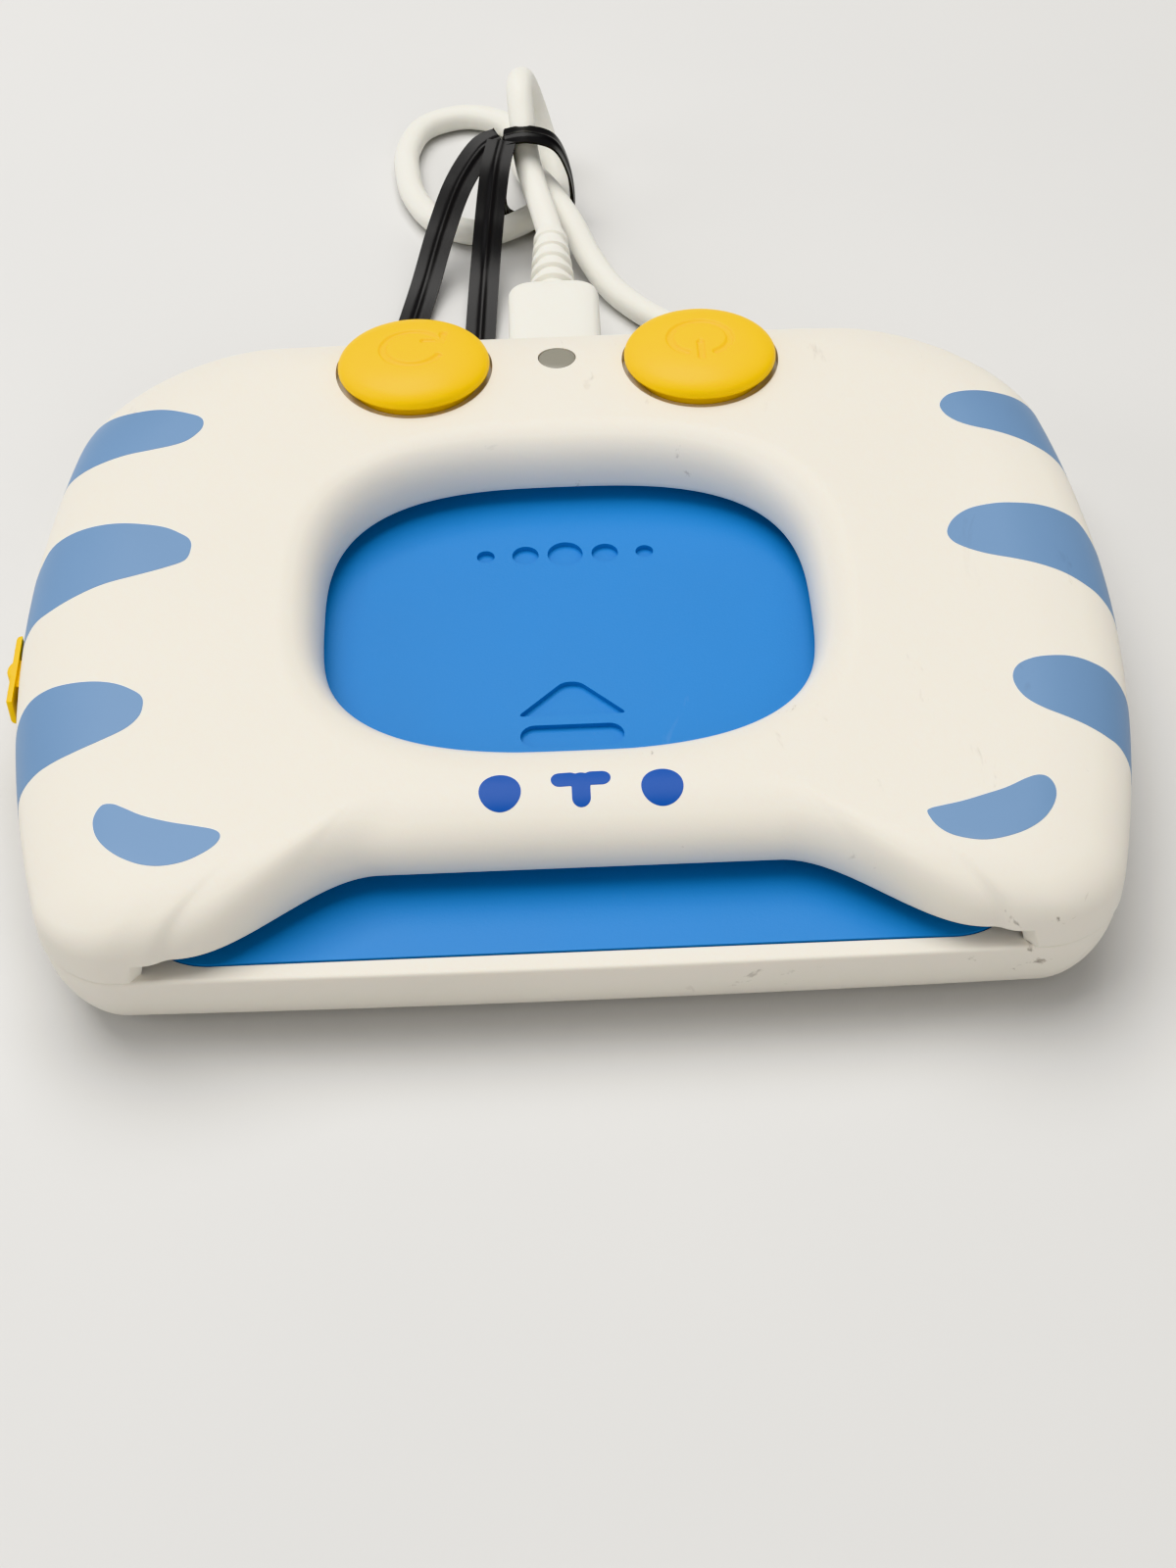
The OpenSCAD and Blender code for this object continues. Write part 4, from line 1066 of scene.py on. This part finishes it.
def build_tie():
    """A flat black band round the bundle, twisted together at its top, with two loose tails."""
    loop = [(-5.6, TIE_Y, 13.9), (-6.1, TIE_Y, 9.6), (-6.1, TIE_Y, 4), (-5.4, TIE_Y, 1.2),
            (-2.8, TIE_Y, 0.45), (0.8, TIE_Y, 0.45), (2.9, TIE_Y, 1.4), (3.3, TIE_Y, 4.6),
            (2.7, TIE_Y, 9.2), (0.9, TIE_Y, 13), (-2.6, TIE_Y, 14.3), (-5.6, TIE_Y, 13.9)]
    path = curve_through(loop, 10)
    band = sweep("tie_band", path, tie_section(TIE_W), "reader", "tie_film", (0, 1, 0))
    made = [band]
    for word, points in TAILS.items():
        path = curve_through(points, 14)
        made.append(sweep(f"tie_{word}_tail", path, tie_section(TIE_W), "reader", "tie_film",
                          (0.86, -0.3, 0)))
    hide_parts("twist_tie")
    return made


# ---- materials ----


def node(tree, kind, **values):
    """Adds a node; keys that name an input set it, and the rest are set on the node."""
    n = tree.nodes.new(kind)
    for key, value in values.items():
        if key in n.inputs:
            n.inputs[key].default_value = value
        else:
            setattr(n, key, value)
    return n


def new_group(name, inputs, outputs):
    """A node group with named float inputs and named outputs."""
    group = bpy.data.node_groups.new(name, "ShaderNodeTree")
    for label, default in inputs:
        socket = group.interface.new_socket(label, in_out="INPUT", socket_type="NodeSocketFloat")
        socket.default_value = default
    for label, kind in outputs:
        group.interface.new_socket(label, in_out="OUTPUT", socket_type=kind)
    return group, group.nodes.new("NodeGroupInput"), group.nodes.new("NodeGroupOutput")


def moulded_grain_group():
    """Fine spark-eroded grain: a fine noise as its height, and a slow one."""
    group, start, end = new_group("Moulded grain", [("Scale", 4000.0)],
                                  [("Height", "NodeSocketFloat"), ("Cloud", "NodeSocketFloat")])
    place = node(group, "ShaderNodeTexCoord")
    fine = node(group, "ShaderNodeTexNoise", Detail=2.0, Roughness=0.6)
    group.links.new(place.outputs["Object"], fine.inputs["Vector"])
    group.links.new(start.outputs["Scale"], fine.inputs["Scale"])
    slow = node(group, "ShaderNodeTexNoise", Scale=38.0, Detail=3.0, Roughness=0.55)
    group.links.new(place.outputs["Object"], slow.inputs["Vector"])
    group.links.new(fine.outputs["Fac"], end.inputs["Height"])
    group.links.new(slow.outputs["Fac"], end.inputs["Cloud"])
    return group


def scuff_group():
    """Short dark handling marks: a stretched noise cut high, kept only where a slow noise is high."""
    group, start, end = new_group("Handling marks", [("Scale", 240.0), ("Amount", 0.7)],
                                  [("Mask", "NodeSocketFloat")])
    place = node(group, "ShaderNodeTexCoord")
    turn = node(group, "ShaderNodeMapping")
    turn.inputs["Rotation"].default_value = (0.4, 0.2, 0.7)
    turn.inputs["Scale"].default_value = (1.0, 0.28, 1.0)
    group.links.new(place.outputs["Object"], turn.inputs["Vector"])
    marks = node(group, "ShaderNodeTexNoise", Detail=4.0, Roughness=0.7, Distortion=0.6)
    group.links.new(turn.outputs["Vector"], marks.inputs["Vector"])
    group.links.new(start.outputs["Scale"], marks.inputs["Scale"])
    cut = node(group, "ShaderNodeMapRange", **{"From Min": 0.64, "From Max": 0.72})
    group.links.new(marks.outputs["Fac"], cut.inputs["Value"])
    where = node(group, "ShaderNodeTexNoise", Scale=26.0, Detail=2.0)
    group.links.new(place.outputs["Object"], where.inputs["Vector"])
    patch = node(group, "ShaderNodeMapRange", **{"From Min": 0.5, "From Max": 0.66})
    group.links.new(where.outputs["Fac"], patch.inputs["Value"])
    both = node(group, "ShaderNodeMath", operation="MULTIPLY")
    group.links.new(cut.outputs["Result"], both.inputs[0])
    group.links.new(patch.outputs["Result"], both.inputs[1])
    amount = node(group, "ShaderNodeMath", operation="MULTIPLY")
    group.links.new(both.outputs[0], amount.inputs[0])
    group.links.new(start.outputs["Amount"], amount.inputs[1])
    group.links.new(amount.outputs[0], end.inputs["Mask"])
    return group


def group_node(tree, group, **values):
    """Places a node group with its own input values."""
    n = tree.nodes.new("ShaderNodeGroup")
    n.node_tree = group
    for key, value in values.items():
        n.inputs[key].default_value = value
    return n


def shade(colour, by):
    """A colour with an alpha of 1, made lighter or darker."""
    return tuple(min(1.0, c * by) for c in colour[:3]) + (1.0,)


def moulded_plastic(name, colour, roughness, grain=4000.0, bump=0.1, marks=0.0, sheen=1.12,
                    subsurface=0.0, mark_colour=(0.16, 0.12, 0.09), coat=0.0):
    """Moulded plastic: a colour and a roughness that drift slowly, fine grain in its height, and,
    where asked, a few handling marks."""
    material = bpy.data.materials.new(name)
    material.use_nodes = True
    tree = material.node_tree
    shader = tree.nodes["Principled BSDF"]
    shader.inputs["Subsurface Weight"].default_value = subsurface
    shader.inputs["Subsurface Radius"].default_value = (0.0012, 0.0008, 0.0005)
    shader.inputs["Subsurface Scale"].default_value = 1.0
    shader.inputs["Coat Weight"].default_value = coat
    shader.inputs["Specular IOR Level"].default_value = 0.3
    shader.inputs["Coat Roughness"].default_value = 0.25
    grain_node = group_node(tree, GROUPS["grain"], Scale=grain)
    tone = node(tree, "ShaderNodeMix", data_type="RGBA")
    tone.inputs[6].default_value = shade(colour, 0.94)
    tone.inputs[7].default_value = shade(colour, sheen ** 0.5)
    tree.links.new(grain_node.outputs["Cloud"], tone.inputs[0])
    last = tone.outputs[2]
    if marks > 0:
        mark_node = group_node(tree, GROUPS["scuff"], Amount=marks)
        dirt = node(tree, "ShaderNodeMix", data_type="RGBA")
        dirt.inputs[7].default_value = mark_colour + (1.0,)
        tree.links.new(last, dirt.inputs[6])
        tree.links.new(mark_node.outputs["Mask"], dirt.inputs[0])
        last = dirt.outputs[2]
    tree.links.new(last, shader.inputs["Base Color"])
    rough = node(tree, "ShaderNodeMapRange", **{"To Min": roughness - 0.06, "To Max": roughness + 0.06})
    tree.links.new(grain_node.outputs["Cloud"], rough.inputs["Value"])
    tree.links.new(rough.outputs["Result"], shader.inputs["Roughness"])
    relief = node(tree, "ShaderNodeBump", Strength=bump, Distance=0.0001)
    tree.links.new(grain_node.outputs["Height"], relief.inputs["Height"])
    tree.links.new(relief.outputs["Normal"], shader.inputs["Normal"])
    return material


def plated_steel(name, colour, roughness):
    """Plated steel: fine drawn lines along one way in its colour and roughness."""
    material = bpy.data.materials.new(name)
    material.use_nodes = True
    tree = material.node_tree
    shader = tree.nodes["Principled BSDF"]
    shader.inputs["Metallic"].default_value = 1.0
    place = node(tree, "ShaderNodeTexCoord")
    stretch = node(tree, "ShaderNodeMapping")
    stretch.inputs["Scale"].default_value = (1.0, 14.0, 14.0)
    tree.links.new(place.outputs["Object"], stretch.inputs["Vector"])
    lines = node(tree, "ShaderNodeTexNoise", Scale=700.0, Detail=3.0)
    tree.links.new(stretch.outputs["Vector"], lines.inputs["Vector"])
    tone = node(tree, "ShaderNodeMix", data_type="RGBA")
    tone.inputs[6].default_value = shade(colour, 0.9)
    tone.inputs[7].default_value = shade(colour, 1.08)
    tree.links.new(lines.outputs["Fac"], tone.inputs[0])
    tree.links.new(tone.outputs[2], shader.inputs["Base Color"])
    rough = node(tree, "ShaderNodeMapRange", **{"To Min": roughness - 0.08, "To Max": roughness + 0.1})
    tree.links.new(lines.outputs["Fac"], rough.inputs["Value"])
    tree.links.new(rough.outputs["Result"], shader.inputs["Roughness"])
    return material


def circuit_board_material():
    """Solder mask over copper: straight tracks from two sets of cells, lighter than the mask."""
    material = bpy.data.materials.new("Solder mask")
    material.use_nodes = True
    tree = material.node_tree
    shader = tree.nodes["Principled BSDF"]
    shader.inputs["Coat Weight"].default_value = 0.6
    place = node(tree, "ShaderNodeTexCoord")
    bricks = node(tree, "ShaderNodeTexBrick", Scale=420.0)
    bricks.inputs["Color1"].default_value = (0.010, 0.12, 0.045, 1)
    bricks.inputs["Color2"].default_value = (0.014, 0.15, 0.055, 1)
    bricks.inputs["Mortar"].default_value = (0.03, 0.27, 0.10, 1)
    bricks.inputs["Mortar Size"].default_value = 0.06
    tree.links.new(place.outputs["Object"], bricks.inputs["Vector"])
    tree.links.new(bricks.outputs["Color"], shader.inputs["Base Color"])
    grain_node = group_node(tree, GROUPS["grain"], Scale=2500.0)
    rough = node(tree, "ShaderNodeMapRange", **{"To Min": 0.3, "To Max": 0.45})
    tree.links.new(grain_node.outputs["Cloud"], rough.inputs["Value"])
    tree.links.new(rough.outputs["Result"], shader.inputs["Roughness"])
    return material


def table_material():
    """A plain pale tabletop with a very soft mottle."""
    material = bpy.data.materials.new("Pale table")
    material.use_nodes = True
    tree = material.node_tree
    shader = tree.nodes["Principled BSDF"]
    place = node(tree, "ShaderNodeTexCoord")
    mottle = node(tree, "ShaderNodeTexNoise", Scale=14.0, Detail=3.0)
    tree.links.new(place.outputs["Object"], mottle.inputs["Vector"])
    tone = node(tree, "ShaderNodeMix", data_type="RGBA")
    tone.inputs[6].default_value = (0.63, 0.63, 0.625, 1)
    tone.inputs[7].default_value = (0.67, 0.665, 0.655, 1)
    tree.links.new(mottle.outputs["Fac"], tone.inputs[0])
    tree.links.new(tone.outputs[2], shader.inputs["Base Color"])
    shader.inputs["Roughness"].default_value = 0.7
    return material


GROUPS = {}
MATERIALS = {}


def build_materials():
    """All finishes of the reader, its lead and the pieces inside."""
    colours = bpy.context.scene.reader_colours
    GROUPS["grain"] = moulded_grain_group()
    GROUPS["scuff"] = scuff_group()
    make = moulded_plastic
    MATERIALS.update(
        shell=make("Warm white shell", tuple(colours.shell), 0.42, bump=0.06, marks=0.75,
                   sheen=1.04, subsurface=0.12),
        bed=make("Blue card bed", tuple(colours.bed), 0.46, grain=3000.0, bump=0.14, marks=0.25,
                 mark_colour=(0.2, 0.34, 0.6)),
        stripe=make("Pale blue print", tuple(colours.stripe), 0.4, bump=0.05, marks=0.4,
                    mark_colour=(0.08, 0.12, 0.2)),
        face=make("Dark blue print", tuple(colours.face), 0.36, bump=0.05),
        button=make("Yellow button", tuple(colours.button), 0.4, bump=0.06, subsurface=0.1,
                    sheen=1.02),
        lens=make("Grey lens", (0.26, 0.25, 0.21), 0.3, bump=0.03),
        lead=make("White lead", tuple(colours.lead), 0.42, bump=0.08, subsurface=0.1, sheen=1.03),
        tie=make("Black tie", (0.012, 0.012, 0.013), 0.34, bump=0.06),
        black=make("Black moulding", (0.02, 0.02, 0.021), 0.45),
        rubber=make("Soft foot", (0.45, 0.45, 0.44), 0.75, bump=0.2, grain=1800.0),
        led=make("Clear resin", (0.8, 0.8, 0.74), 0.2, bump=0.02),
        foil=make("Battery foil", (0.5, 0.52, 0.55), 0.35, bump=0.3, grain=500.0),
        red=make("Red wire", (0.45, 0.02, 0.015), 0.4),
        film=make("Flat cable", (0.75, 0.75, 0.72), 0.35),
        steel=plated_steel("Plated steel", (0.62, 0.62, 0.63), 0.3),
        board=circuit_board_material(),
        table=table_material(),
    )


def paint(obj, material):
    """Gives an object one material in its first slot."""
    obj.data.materials.clear()
    obj.data.materials.append(MATERIALS[material])


CAD_FINISH = {
    "repeat_plunger": "black", "power_plunger": "black", "repeat_switch": "steel",
    "power_switch": "steel", "status_led": "led", "volume_switch": "steel", "main_board": "board",
    "sound_chip": "black", "usb_socket": "steel", "card_sensor_board": "board",
    "card_sensors": "black", "board_screws": "steel", "case_screws": "steel", "battery": "foil",
    "battery_lead": "red", "speaker": "black", "speaker_magnet": "steel", "speaker_lead": "black",
    "sensor_lead": "film", "rubber_feet": "rubber", "charging_plug_tongue": "steel",
    "usb_a_shell": "steel", "usb_a_tongue": "black",
}


def paint_cad_nodes():
    """Assigns each carried-over CAD piece its finish."""
    for name, finish in CAD_FINISH.items():
        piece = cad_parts[name]
        if not piece.data.materials:
            piece.data.materials.append(None)
        for slot in piece.material_slots:
            slot.material = MATERIALS[finish]


# ---- operators ----


class READER_OT_materials(bpy.types.Operator):
    """Make every finish and paint the inner pieces"""
    bl_idname = "reader.materials"
    bl_label = "Materials"

    def execute(self, context):
        build_materials()
        paint_cad_nodes()
        return {"FINISHED"}


class READER_OT_camera(bpy.types.Operator):
    """Place the camera above and in front of the reader"""
    bl_idname = "reader.camera"
    bl_label = "Camera"

    def execute(self, context):
        place_camera()
        return {"FINISHED"}


class READER_OT_lead(bpy.types.Operator):
    """Build the charging lead with its plugs, strain relief and tie"""
    bl_idname = "reader.lead"
    bl_label = "Charging lead"

    def execute(self, context):
        cable, path = build_cable()
        plug, relief, usb_a = build_plug(), build_relief(), build_usb_a()
        ties = build_tie()
        for piece in (cable, plug, relief, usb_a):
            paint(piece, "lead")
        for piece in ties:
            paint(piece, "tie")
        return {"FINISHED"}


class READER_OT_shells(bpy.types.Operator):
    """Build the top shell and the bottom shell"""
    bl_idname = "reader.shells"
    bl_label = "Shells"

    def execute(self, context):
        for piece in build_top_shell() + [build_bottom_shell()]:
            paint(piece, "shell")
        return {"FINISHED"}


class READER_OT_bed(bpy.types.Operator):
    """Build the card bed with its arrow"""
    bl_idname = "reader.bed"
    bl_label = "Card bed"

    def execute(self, context):
        paint(build_card_bed(), "bed")
        return {"FINISHED"}


class READER_OT_prints(bpy.types.Operator):
    """Build the stripes, ear marks, eyes and nose"""
    bl_idname = "reader.prints"
    bl_label = "Prints"

    def execute(self, context):
        for piece, finish in build_prints():
            paint(piece, finish)
        return {"FINISHED"}


class READER_OT_controls(bpy.types.Operator):
    """Build the two buttons, the status lens and the volume slider"""
    bl_idname = "reader.controls"
    bl_label = "Controls"

    def execute(self, context):
        for piece in build_button(-1, "repeat", repeat_sign) + build_button(1, "power", power_sign):
            paint(piece, "button")
        for piece in build_slider():
            paint(piece, "button")
        paint(build_lens(), "lens")
        return {"FINISHED"}


class READER_OT_stage(bpy.types.Operator):
    """Lay the table and hang the soft lights"""
    bl_idname = "reader.stage"
    bl_label = "Stage"

    def execute(self, context):
        build_stage()
        return {"FINISHED"}


class READER_PT_panel(bpy.types.Panel):
    """Lists the reader's pieces in the sidebar"""
    bl_label = "Card reader"
    bl_idname = "READER_PT_panel"
    bl_space_type = "VIEW_3D"
    bl_region_type = "UI"
    bl_category = "Card reader"

    def draw(self, context):
        layout = self.layout
        for group in (context.scene.reader_sizes, context.scene.reader_colours):
            for key in group.bl_rna.properties.keys():
                if key not in ("rna_type", "name"):
                    layout.prop(group, key)
        for step in STEPS:
            layout.operator(step.bl_idname)


# ---- camera and stage ----

CAMERA_PLACE = (-1.62, -198.12, 198.81)
CAMERA_PITCH, CAMERA_YAW, CAMERA_ROLL = 47.05, 0.95, -1.576
LENS_MM = 57.0


def place_camera():
    """Looks forward and down by the pitch, turned by the yaw and rolled about its own axis."""
    pitch, yaw, roll = (math.radians(a) for a in (CAMERA_PITCH, CAMERA_YAW, CAMERA_ROLL))
    forward = Vector((math.sin(yaw) * math.cos(pitch), math.cos(yaw) * math.cos(pitch),
                      -math.sin(pitch)))
    level = Vector((math.cos(yaw), -math.sin(yaw), 0))
    down = forward.cross(level)
    right = math.cos(roll) * level - math.sin(roll) * down
    up = -(math.sin(roll) * level + math.cos(roll) * down)
    camera = bpy.data.cameras.new("camera")
    camera.lens = LENS_MM
    camera.clip_start = 0.01
    holder = bpy.data.objects.new("camera", camera)
    bpy.context.scene.collection.objects.link(holder)
    turn = Matrix((right, up, -forward)).transposed().to_4x4()
    holder.matrix_world = Matrix.Translation(Vector(CAMERA_PLACE) * MM) @ turn
    bpy.context.scene.camera = holder


def soft_light(name, place, aim, size, power, colour=(1, 1, 1)):
    """A square soft light that points at aim."""
    light = bpy.data.lights.new(name, "AREA")
    light.size = size
    light.energy = power
    light.color = colour
    holder = bpy.data.objects.new(name, light)
    bpy.context.scene.collection.objects.link(holder)
    way = Vector(aim) - Vector(place)
    holder.matrix_world = (Matrix.Translation(Vector(place))
                           @ way.to_track_quat("-Z", "Y").to_matrix().to_4x4())


def build_stage():
    """A pale table, a large soft light overhead, a weaker one in front and a dim room."""
    n = 24
    x, y = np.meshgrid(np.linspace(-2500, 2500, n), np.linspace(-2500, 2500, n), indexing="ij")
    table = make_object("table", np.stack([x, y, 0 * x - 0.02], -1).reshape(-1, 3),
                        [f[::-1] for f in grid_faces(n, n)], None)
    paint(table, "table")
    soft_light("overhead", (-0.12, 0.22, 0.75), (0, 0, 0), 0.75, 7.0, (1.0, 0.985, 0.96))
    soft_light("front_fill", (0.35, -0.75, 0.5), (0, 0, 0.01), 0.6, 2.2, (1.0, 0.985, 0.96))
    soft_light("left_fill", (-0.8, -0.1, 0.35), (0, 0, 0.01), 0.5, 1.5)
    bpy.context.scene.view_settings.view_transform = "Khronos PBR Neutral"
    world = bpy.data.worlds.new("room")
    bpy.context.scene.world = world
    world.use_nodes = True
    world.node_tree.nodes["Background"].inputs["Color"].default_value = (1.0, 0.985, 0.96, 1)
    world.node_tree.nodes["Background"].inputs["Strength"].default_value = 0.27


STEPS = (READER_OT_camera, READER_OT_materials, READER_OT_lead, READER_OT_shells, READER_OT_bed,
         READER_OT_prints, READER_OT_controls, READER_OT_stage)
CLASSES = (ReaderSizes, ReaderColours, *STEPS, READER_PT_panel)


def register():
    """Registers the classes and hangs the settings on the scene."""
    for cls in CLASSES:
        bpy.utils.register_class(cls)
    bpy.types.Scene.reader_sizes = bpy.props.PointerProperty(type=ReaderSizes)
    bpy.types.Scene.reader_colours = bpy.props.PointerProperty(type=ReaderColours)


def unregister():
    """Takes the settings and the classes away again."""
    del bpy.types.Scene.reader_colours
    del bpy.types.Scene.reader_sizes
    for cls in reversed(CLASSES):
        bpy.utils.unregister_class(cls)


def main():
    """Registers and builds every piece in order."""
    register()
    for step in STEPS:
        area, name = step.bl_idname.split(".")
        getattr(getattr(bpy.ops, area), name)()


if __name__ == "__main__":
    main()
